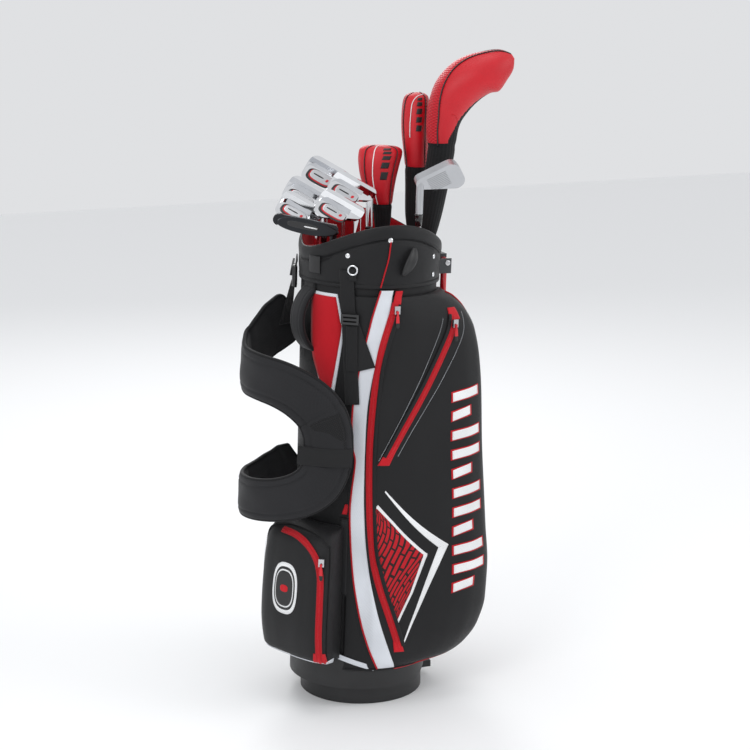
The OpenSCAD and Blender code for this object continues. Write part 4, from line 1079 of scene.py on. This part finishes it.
def build_yoke():
    """Both shoulder pads and the hub between them: one quilted slab with bound edges."""
    t = np.linspace(0, 1, 300)
    s = np.linspace(-0.485, 0.485, 35)
    sheet, outs = yoke_sheet(t, s)
    channels = sum(np.exp(-((s - c) / 0.02) ** 2) for c in (-0.33, 0.33))
    relief = -1.7 * channels[None, :] * np.ones((300, 1))
    relief = relief * (np.minimum(t, 1 - t)[:, None] > 0.015)
    for cross in (0.415, 0.585):
        relief = relief - 1.5 * np.exp(-((t - cross) / 0.004) ** 2)[:, None]
    relief = relief + 1.1 * waves(sheet, 60, 21) * (1 - (2 * s[None]) ** 4)
    piece = pillow("strap_yoke", sheet, 13, [pad_cloth], edge=0.34, power=5, relief=relief,
                   outward=outs)
    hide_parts("strap_pad_upper", "strap_pad_lower")
    rim = np.concatenate([sheet[:, 0], sheet[-1, 1:], sheet[-2::-1, -1], sheet[0, -2:0:-1]])
    ways = np.concatenate([outs[:, 0], outs[-1, 1:], outs[-2::-1, -1], outs[0, -2:0:-1]])
    for _ in range(4):
        rim = (np.roll(rim, 1, 0) + rim * 2 + np.roll(rim, -1, 0)) / 4
    piping("strap_binding", rim, 2.8, binding, loop=True, outs=ways, squeeze=1.5)
    for c in (-0.33, 0.33):
        line, out = yoke_sheet(np.linspace(0.02, 0.98, 400), np.array([c]), 5.0)
        beads("yoke_stitches_%d" % (c > 0), line[:, 0], out[:, 0], 4.2, (2.6, 0.6, 0.5), patch_cloth)
    for tag, t0, t1 in (("upper", 0.425, 0.487), ("lower", 0.491, 0.532)):
        square, out = yoke_sheet(np.linspace(t0, t1, 16), np.linspace(-0.27, 0.33, 18), 6.0)
        pillow("hub_patch_" + tag, square, 2.2, [patch_cloth], edge=0.6, power=8, outward=out)
        edge = np.concatenate([square[1:-1, 1], square[-2, 1:-1], square[-2:0:-1, -2], square[1, -2:0:-1]])
        ways = np.concatenate([out[1:-1, 1], out[-2, 1:-1], out[-2:0:-1, -2], out[1, -2:0:-1]])
        beads("hub_stitches_" + tag, edge + ways * 1.1, ways, 3.4, (2.4, 0.7, 0.5), pad_cloth)
    band, out = yoke_sheet(np.array([0.545, 0.553, 0.561]), np.linspace(-0.62, 0.47, 40), 6.8)
    tape("hub_band", band[1], out[1], 33, 2.4, webbing, crown=0.2)


def build_handle():
    """Grab handle: a padded bow whose thickness swells in the middle, bound along both edges."""
    half, rise, z0 = 56.0, 27.0, CUFF_Z - 66
    bow = (half * half + rise * rise) / (2 * rise)
    reach = math.asin((half - 1.5) / bow)
    t = np.linspace(-1, 1, 60)
    a = t * reach
    x = -120.6 - (bow * np.cos(a) - (bow - rise)) + 3.2
    z = z0 + bow * np.sin(a)
    s = np.linspace(-1, 1, 19)
    swing = math.radians(9)
    def swung(x, y, z):
        return np.stack(np.broadcast_arrays(x * math.cos(swing) - y * math.sin(swing),
                                            x * math.sin(swing) + y * math.cos(swing), z), -1)
    sheet = swung(x[:, None], s[None] * 20.0, z[:, None])
    piece = pillow("grab_handle", sheet, 12.0, [pad_cloth], edge=0.4, power=4,
                   relief=-0.8 * np.exp(-((np.abs(s) - 0.55) / 0.06) ** 2)[None] + 0 * t[:, None],
                   outward=np.array([-1.0, 0, 0]))
    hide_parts("carry_handle")
    for y in (-19, 19):
        line = swung(x, y, z)
        piping("grab_handle_edge_%d" % (y > 0), line, 2.0, binding,
               outs=np.array([[-1.0, 0, 0]]) + 0 * line)
    for n, h in (("high", z0 + half + 6), ("low", z0 - half - 6)):
        left = [[189 - 8.5, h - 12], [189 - 8.5, h + 12]]
        right = [[189 + 8.5, h - 12], [189 + 8.5, h + 12]]
        patch("handle_tab_" + n, tube_surface, left, right, 2.4, webbing, along=12,
              thick=1.6)


def build_webbing():
    """Ribbed webbing from the cuff down to the pads, its tails and the black flap at the hub."""
    i = np.linspace(0, 8, 60)
    near = np.stack([-130 + i, CUFF_Z + 32 - (CUFF_Z - 528) * i / 8], -1)
    def off(angle, z):
        return round_axis(angle, z, CUFF_R + 0 * np.asarray(z, float))
    line, out = on_it(off, near, 2.5)
    piece = tape("near_webbing", line, out, 25, 2.2, webbing, crown=0.2)
    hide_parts("strap_webbing")
    k = np.linspace(0, 1, 40)[:, None]
    start_out = np.array([math.cos(math.radians(162)), math.sin(math.radians(162)), 0])
    end_out = np.array([-0.26, 0.966, 0])
    top = start_out * (CUFF_R + 3.5) + [0, 0, CUFF_Z + 34]
    foot = np.array([-126, 98.7, 668]) - end_out * 7.1
    tape("far_webbing", top * (1 - k) + foot * k, unit(start_out * (1 - k) + end_out * k), 25, 2.2, webbing,
         crown=0.2)
    block = round_axis(161 + 5.6 * np.linspace(-1, 1, 11)[None], 766 + 20 * np.linspace(-1, 1, 15)[:, None],
                       CUFF_R + 7.5 + np.zeros((15, 11)))
    pillow("far_keeper", block, 9.5, [gloss_black], edge=0.7, power=8,
           outward=level(block))
    tail = np.stack([-124.0 + i / 8, 700 - 80 * i / 8], -1)
    line, out = on_it(off, tail, 5.4)
    tape("webbing_tail", line, out, 20, 1.6, webbing)
    tab = np.stack([-124.7 + 0 * i, CUFF_Z + 36 - 22 * i / 8], -1)
    line, out = on_it(off, tab, 3.9)
    tape("ring_tab", line, out, 13, 2.0, webbing, crown=0.4)
    patch("strap_flap", side_surface, [[-126, 728], [-131, 612]], [[-122.5, 726], [-104.8, 628]], 4.4,
          panel_nylon, 14, 20, thick=1.5)


# ---------- moving parts of the zippers ----------

def build_pulls():
    """Cord-and-rubber pulls: a lathe-like tab with a waist and a black tip, hung on a small slider."""
    for tag in ("tube", "side", "ball"):
        low, high = (np.array(v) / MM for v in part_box("pull_" + tag))
        slider_low, slider_high = (np.array(v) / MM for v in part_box("slider_" + tag))
        centre = (low + high) / 2
        away = (centre - (slider_low + slider_high) / 2) * [1, 1, 0]
        away = away / np.linalg.norm(away)
        side = np.array([-away[1], away[0], 0])
        top, foot = high[2] - 2.4, low[2] + 0.4
        t = np.linspace(0, 1, 40)
        z = top + (foot - top) * t
        width = np.interp(t, [0, 0.03, 0.1, 0.2, 0.35, 0.7, 0.93, 1],
                          [1.0, 2.0, 2.4, 1.5, 2.6, 3.2, 3.0, 1.2])
        deep = np.interp(t, [0, 0.05, 0.3, 0.6, 0.93, 1], [0.9, 1.2, 1.1, 1.5, 1.3, 0.5])
        c, s = squared(np.cos(circle(16)), 0.7), squared(np.sin(circle(16)), 0.7)
        points = (np.stack([np.full(40, centre[0]), np.full(40, centre[1]), z], -1)[:, None]
                  + side * (c[None] * width[:, None])[..., None]
                  + away * (s[None] * deep[:, None])[..., None])
        piece = skin_world("zip_pull_" + tag, points, [red_rubber, soft_rubber],
                           "zip_pull_" + tag, pick=lambda i, k: (i > 26).astype(int))
        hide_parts("pull_" + tag)


def skin_world(name, points, materials, body, pick=None):
    """A ring surface whose points are already in the shared frame, in millimetres."""
    c, s = math.cos(LEAN), math.sin(LEAN)
    x, y, z = np.moveaxis(points, -1, 0)
    back = np.stack([x * c - z * s, y, x * s + z * c], -1)
    return skin(name, back, materials, body, ring=True, caps=(True, True), pick=pick)


# ---------- clubs ----------

def matrix(kind, *values):
    """4x4 turn about an axis in degrees, or a move."""
    m = np.eye(4)
    if kind == "move":
        m[:3, 3] = values
        return m
    a = math.radians(values[0])
    c, s = math.cos(a), math.sin(a)
    i, k = {"x": (1, 2), "y": (2, 0), "z": (0, 1)}[kind]
    m[i, i] = m[k, k] = c
    m[i, k], m[k, i] = -s, s
    return m


def club_frame(at, tilt=0.0):
    """Shaft line of a club in the bag frame: local z is height above the rim's high sides."""
    return (matrix("z", -22) @ matrix("move", at[0] * REACH, at[1] * REACH, BAG_H)
            @ matrix("y", tilt))


def blade_frame(at, loft, turned=0.0):
    """Frame of an iron's blade: x from heel to toe, y up from its sole, z out of its back."""
    return (club_frame(at) @ matrix("move", 0, 0, at[2]) @ matrix("z", turned) @ matrix("y", 208)
            @ matrix("x", 90 + loft) @ matrix("move", -6, -7, -8))


def carried(frame44, points):
    """Points of a local frame in the bag frame."""
    return points @ frame44[:3, :3].T + frame44[:3, 3]


DRIVER = ([0.98, 0.2, 155], 6.0)
FAIRWAY = ([0.71, 0.66, 130], 0.0)
HYBRID = ([0.195, 0.47, 55], 0.0)
IRONS = {"iron_6": ([0.78, -0.59, 74], 28, 180), "iron_7": ([-0.47, 0.82, 57], 32, 0),
         "iron_8": ([-0.03, -0.02, 41], 36, 0), "iron_9": ([-0.78, 0.41, 24], 40, 0),
         "pitching_wedge": ([-0.22, -0.75, 17], 45, 0), "sand_wedge": ([-0.88, 0.02, 1], 50, 0)}
PUTTER = ([-0.61, -0.43, -12], 0.0)

DRIVER_SOCK = [[0, -34, 0, 16, 16], [0, -16, 0, 19, 19], [1, 20, 0, 22, 22], [3, 70, -3, 23, 23],
               [4, 117, -8, 24.5, 24], [0.5, 160, -8, 29, 29], [5, 195, 5, 36, 37], [16, 223, 12, 42, 43],
               [33, 245, 20, 44.5, 45], [54, 261, 34, 44, 43], [76, 279, 41, 33.5, 35],
               [94, 292, 47, 21.5, 22], [105, 299, 50, 5, 5]]
FAIRWAY_SOCK = [[4, -30, 0, 15, 15], [4, 0, 0, 19, 19], [4, 50, 0, 20, 20], [3, 84, 0, 21, 25],
                [0, 118, 0, 23.5, 32], [-2, 148, 0, 25, 37], [-2.5, 172, 0, 25.5, 38], [-2, 194, 0, 24, 34],
                [-1, 207, 0, 20.5, 28], [0, 212.5, 0, 13, 18], [0, 214, 0, 4, 5]]
HYBRID_SOCK = [[0, -32, 0, 13, 13], [0, -12, 0, 15.5, 15.5], [-1, 4, 0, 17, 18], [-6, 30, 0, 24.5, 23],
               [-10, 62, 0, 32.5, 28], [-9.5, 88, 0, 37.5, 30], [-7.5, 104, 0, 39.5, 28],
               [-6.5, 113, 0, 37.5, 23], [-6, 118.5, 0, 27, 14], [-6, 119.6, 0, 9, 5]]


class Sock:
    """Outside of a headcover: ovals on stations along the club, read at a share t and an angle."""

    def __init__(self, rows, where):
        self.rows, self.where = rows, where

    def __call__(self, t, angle, lift=0.0):
        row = curve(self.rows, np.asarray(t, float))
        a, tilt = np.radians(angle), np.radians(row[..., 2])
        wide, deep = (row[..., 3] + lift) * np.cos(a), (row[..., 4] + lift) * np.sin(a)
        local = np.stack([row[..., 0] + wide * np.cos(tilt), deep, row[..., 1] - wide * np.sin(tilt)], -1)
        return carried(self.where, local)

    def out(self, t, angle):
        """Directions out of the cover."""
        return unit(self(t, angle, 1.0) - self(t, angle, 0.0))


def build_cover(name, sock, pick, materials, node, body, knit_until, seams, steps=150):
    """Headcover: padded shell over a knit sock, closed at its top, with a turned hem at its foot."""
    t = np.linspace(0, 1, steps)
    angle = np.linspace(0, 360, 97)[:-1]
    tt, aa = np.meshgrid(t, angle, indexing="ij")
    outside = sock(tt, aa)
    out = sock.out(tt, aa)
    padded = np.clip((tt - knit_until) / 0.08, 0, 1)
    relief = padded * 0.9 * waves(outside, 55, 31) + (1 - padded) * 0.5 * waves(outside * [1, 1, 0.3], 40, 17)
    for path_t, path_a, deep in seams:
        line = np.interp(tt, path_t, path_a)
        gap = np.abs((aa - line + 180) % 360 - 180)
        relief = relief - deep * np.exp(-(gap / 4.5) ** 2) * ((tt > path_t[0]) & (tt < path_t[-1]))
    relief = relief - 1.3 * np.exp(-((tt - knit_until) / 0.012) ** 2)
    relief = relief * np.clip((1 - tt) / 0.06, 0, 1)
    outside = outside + out * relief[..., None]
    inside = sock(np.maximum(tt - 0.004, 0), aa, -2.4)[::-1][int(steps * 0.06):]
    hem = sock(tt[:1], aa[:1], -1.2)
    points = np.concatenate([inside, hem, outside])
    shift = len(inside) + 1
    piece = skin(name, points, materials, body, ring=True, caps=(True, True),
                 pick=lambda i, k: np.where(i < shift, 1, pick((i - shift) / steps, k * 360 / 96)))
    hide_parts(node)
    return piece


def cover_line(name, sock, ts, angles, radius, material, body, lift=0.4, steps=70):
    """Piping along a headcover through shares and angles."""
    u = np.linspace(0, 1, steps)
    t = curve(np.array(ts, float)[:, None], u)[:, 0]
    a = curve(np.array(angles, float)[:, None], u)[:, 0]
    return piping(name, sock(t, a, lift), radius, material, body, outs=sock.out(t, a))


def cover_patch(name, sock, t0, t1, a0, a1, material, body, lift=1.2, lean=0.0):
    """Raised oblong on a headcover between two shares and two angles."""
    t = np.linspace(t0, t1, 12)
    a = np.linspace(a0, a1, 8)
    tt, aa = np.meshgrid(t, a, indexing="ij")
    aa = aa + lean * (tt - t0) / (t1 - t0)
    sheet = sock(tt, aa, lift)
    pillow(name, sheet, 1.6, [material], body, edge=0.6, power=8,
           outward=sock.out(tt, aa))


def build_covers():
    """The three headcovers, with their seams, pipings and plain raised bars."""
    driver = Sock(DRIVER_SOCK, club_frame(*DRIVER))
    seam_t = [0.355, 0.45, 0.5, 0.6, 0.7, 0.8, 0.9, 0.985]
    seam_a = [252, 248, 241, 227, 212, 206, 207, 216]
    far_a = [360 - v for v in seam_a]
    def driver_pick(t, a):
        sole = np.interp(t, [0, 0.354, 0.356, 0.41, 0.5, 0.6, 0.7], [-2, -2, 0.3, 0.7, 0.84, 0.92, 1.01])
        under = np.cos(np.radians(a)) > sole
        panel = (a > np.interp(t, seam_t, far_a)) & (a < np.interp(t, seam_t, seam_a))
        return np.where(under, 1, np.where(panel, 2, 0))
    build_cover("driver_headcover_shell", driver, driver_pick, [cover_hide, knit, cover_mesh], "driver_cover",
                "driver_headcover", 0.35, [(seam_t, seam_a, 1.0), (seam_t, far_a, 1.0)])
    for tag, line in (("near", seam_a), ("far", far_a)):
        cover_line("driver_seam_" + tag, driver, seam_t, line, 1.2, black_hide, "driver_headcover")
    fold = [[0.44, 318], [0.46, 308], [0.475, 296], [0.475, 284]]
    cover_line("driver_crease", driver, [f[0] for f in fold], [f[1] for f in fold], 0.5, cover_hide,
               "driver_headcover", lift=0.0)
    fairway = Sock(FAIRWAY_SOCK, club_frame(*FAIRWAY))
    build_cover("fairway_headcover_shell", fairway,
                lambda t, a: np.where(t < 0.29, 1, np.where((a > 205) & (a < 314), 0, 2)),
                [cover_hide, knit, cover_mesh], "fairway_cover", "fairway_headcover", 0.29,
                [([0.29, 0.97], [angle, angle], 1.0) for angle in (214, 314, 60)])
    for name, angle in (("left", 214), ("right", 314), ("far", 60)):
        cover_line("fairway_seam_" + name, fairway, [0.295, 0.5, 0.7, 0.9, 0.96], [angle] * 5, 0.9,
                   black_hide, "fairway_headcover")
    cover_line("fairway_white_piping", fairway, [0.46, 0.6, 0.73, 0.84, 0.9], [247, 250, 254, 276, 318], 0.9,
               white_print, "fairway_headcover", lift=0.8)
    hybrid = Sock(HYBRID_SOCK, club_frame(*HYBRID))
    build_cover("hybrid_headcover_shell", hybrid, lambda t, a: np.where(t < 0.27, 1, 0),
                [cover_hide, knit, cover_mesh], "hybrid_cover", "hybrid_headcover", 0.27,
                [([0.27, 0.95], [angle, angle], 1.0) for angle in (226, 318)])
    for name, angle, material in (("white", 253, white_print), ("left", 226, black_hide),
                                  ("right", 318, black_hide)):
        cover_line("hybrid_seam_" + name, hybrid, [0.275, 0.5, 0.7, 0.9, 0.95], [angle] * 5, 0.9, material,
                   "hybrid_headcover", lift=0.8 if name == "white" else 0.4)
    for sock, tag, low, high, mid in ((fairway, "fairway", 0.5, 0.82, 283),
                                      (hybrid, "hybrid", 0.44, 0.86, 286)):
        pitch = (high - low) / 5
        for n in range(5):
            t0 = low + n * pitch
            cover_patch("%s_bar_%d" % (tag, n), sock, t0, t0 + 0.66 * pitch, mid - 11, mid + 11, black_hide,
                        tag + "_headcover", 0.5, lean=3)


def ring_lathe(name, where, profile, material, body, sides=40):
    """Round piece about a club's shaft: a profile of [height, radius] rows turned round it."""
    angle = circle(sides)
    rows = np.array(profile, float)
    local = np.stack(np.broadcast_arrays(rows[:, 1, None] * np.cos(angle), rows[:, 1, None] * np.sin(angle),
                                         rows[:, 0, None]), -1)
    return skin(name, carried(where, local), [material], body, ring=True, loop=True)


def ferrule(name, at, tilt=0.0):
    """Black ferrule with a raised ring, round the shaft below the hosel."""
    foot = at[2] - 60
    rows = [[foot - 22, 4.8], [foot - 21, 5.45], [foot - 14, 5.9], [foot - 13.4, 6.15], [foot - 11.4, 6.2],
            [foot - 10.8, 5.95], [foot - 4, 6.5], [foot - 3.2, 6.85], [foot - 0.4, 6.85], [foot, 6.4],
            [foot, 4.8]]
    ring_lathe(name + "_ferrule", club_frame(at, tilt), rows, gloss_black, name)


def outline(width, height, power=3.0, n=40):
    """Superellipse outline: x and y follow cos and sin, each to the power 2 / power."""
    t = circle(n)
    return np.stack([squared(np.cos(t), 2 / power) * width / 2,
                     squared(np.sin(t), 2 / power) * height / 2], -1)


def plate(name, where, centre, shape, z0, z1, material, body, skew=0.0):
    """Low plate with a rounded rim: an outline swept from z0 to z1 and closed by its own scaled copies."""
    x = shape[:, 0] + skew * shape[:, 1]
    rings = []
    for grow, z in ((1.0, z0), (1.0, z0 + 0.75 * (z1 - z0)), (0.97, z1 - 0.04), (0.9, z1), (0.45, z1 + 0.05)):
        rings.append(np.stack([centre[0] + x * grow, centre[1] + shape[:, 1] * grow,
                               np.full(len(shape), z)], -1))
    points = carried(where, np.stack(rings))
    return skin(name, points, [material], body, ring=True, caps=(True, True))


# Layers of an iron's badge: centre, outline, lowest and highest z, finish and slant
BADGE = [("cavity_paint", (44, 33), (50, 27, 3.2), 3.3, 3.9, gloss_black, 0.12),
         ("badge_line", (42.6, 31.6), (44.5, 22.2, 3.2), 3.8, 4.2, badge_red, 0.12),
         ("badge", (41.6, 30.3), (42.5, 20.2, 3.2), 4.1, 4.9, badge_silver, 0.12),
         ("badge_word", (47, 30), (20, 2.6, 4), 4.8, 5.2, gloss_black, 0.2),
         ("badge_mark", (29.5, 31), (5.0, 6.0, 2.4), 4.8, 5.3, badge_red, 0.3)]


def build_iron_trim():
    """Cavity badge of each iron: black backing, satin badge, raised bars and a small red mark."""
    for name, (at, loft, turned) in IRONS.items():
        ferrule(name, at)
        where = blade_frame(at, loft, turned)
        if name != "iron_6":
            for part, centre, size, low, high, material, skew in BADGE:
                plate("%s_%s" % (name, part), where, centre, outline(*size), low, high, material, name, skew)
        else:
            for n in range(9):
                y = 9 + 3.4 * n
                line = np.stack([np.linspace(16, 52, 12), np.full(12, y), np.full(12, -0.06)], -1)
                piping("iron_6_groove_%d" % n, carried(where, line), 0.28, dark_metal, name,
                       outs=np.broadcast_to(where[:3, 2], (12, 3)), sides=6)
    face = (club_frame(PUTTER[0]) @ matrix("move", 0, 0, PUTTER[0][2]) @ matrix("y", 190) @ matrix("x", 94)
            @ matrix("move", -6, 0, -9))
    leaf = outline(112, 27, 2.3, 64)
    leaf[:, 1] *= 1 - 0.28 * np.clip(-leaf[:, 0] / 56, -1, 1) ** 2 * (leaf[:, 0] < 0)
    plate("putter_face", face, (50, 12.5), leaf, 18, 27.5, dark_metal, "putter")
    plate("putter_face_recess", face, (58, 12), outline(56, 11, 3), 27.3, 28.0, gloss_black, "putter")
    plate("putter_face_mark", face, (44, 12.5), outline(24, 2.2, 4), 27.9, 28.4, white_print, "putter", 0.2)
    for name, (at, tilt) in (("driver", DRIVER), ("fairway", FAIRWAY), ("hybrid", HYBRID),
                             ("putter", PUTTER)):
        ferrule(name, at, tilt)


def build_bracket_cheeks():
    """Moulded cheeks over the legs' pivots, with the heads of the pivot pins."""
    for side in (-1, 1):
        x, z = np.meshgrid(np.linspace(113, 142, 14), np.linspace(775, 802, 14))
        sheet = np.stack([x, np.full_like(x, side * 40.4), z], -1)
        pillow("bracket_cheek_%d" % (side > 0), sheet, 3.2, [moulded_grey], edge=0.5,
               power=12, outward=np.array([0.0, side, 0.0]))
        a = circle(24)
        rings = [np.stack([134 + r * np.cos(a), np.full(24, side * (42.0 + h)), 794 + r * np.sin(a)], -1)
                 for h, r in ((-0.6, 5.2), (0.9, 5.2), (1.5, 4.4), (1.6, 2.0))]
        skin("bracket_pin_%d" % (side > 0), np.stack(rings), [pin_metal], ring=True,
             caps=(True, True))


def paint(node, material):
    """Gives a frame node its finish."""
    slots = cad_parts[node].data.materials
    slots.clear()
    slots.append(material)


def paint_nodes():
    """Finishes of the nodes that keep the frame's own shape."""
    finishes = {"base_foot": moulded, "base_boot": moulded, "hinge_pins": pin_metal, "divider": velour,
                "stays": moulded_grey, "leg_bracket": moulded_grey, "actuator_rod": black_metal,
                "leg_near": leg_red, "leg_far": leg_red, "leg_near_tip": soft_rubber,
                "leg_far_tip": soft_rubber, "strap_buckles": gloss_black, "rivets": chrome,
                "slider_tube": pin_metal, "slider_side": pin_metal, "slider_ball": pin_metal,
                "driver_head": gloss_black, "fairway_head": gloss_black, "hybrid_head": gloss_black,
                "driver_grip": soft_rubber, "fairway_grip": soft_rubber, "hybrid_grip": soft_rubber,
                "putter_grip": soft_rubber, "driver_shaft": graphite, "fairway_shaft": graphite,
                "hybrid_shaft": graphite, "putter_shaft": steel_club, "putter_head": dark_metal,
                "iron_6_head": satin}
    for node, material in finishes.items():
        paint(node, material)
    for name in IRONS:
        paint(name + "_shaft", steel_club)
        if name != "iron_6":
            paint(name + "_head", chrome)


# ---------- the floor and the making ----------

def build_floor():
    """Plain pale floor, just under the foot."""
    t = np.linspace(-6, 6, 3)
    x, y = np.meshgrid(t, t)
    mesh = bpy.data.meshes.new("floor")
    mesh.from_pydata(np.stack([x, y, 0 * x - 0.0005], -1).reshape(-1, 3).tolist(), [],
                     [[0, 1, 4, 3], [1, 2, 5, 4], [3, 4, 7, 6], [4, 5, 8, 7]])
    floor = bpy.data.objects.new("floor", mesh)
    bpy.context.scene.collection.objects.link(floor)
    mesh.materials.append(start("pale_floor", (0.93, 0.935, 0.94), 0.6)[0])


build_tube()
build_cuff()
build_cuff_trim()
build_side_pocket(1)
build_side_pocket(-1)
build_near_zippers()
build_prints()
build_ball_pocket()
build_valuables_pocket()
build_spine_panel()
build_yoke()
build_handle()
build_webbing()
build_pulls()
build_covers()
build_iron_trim()
build_bracket_cheeks()
paint_nodes()
build_floor()
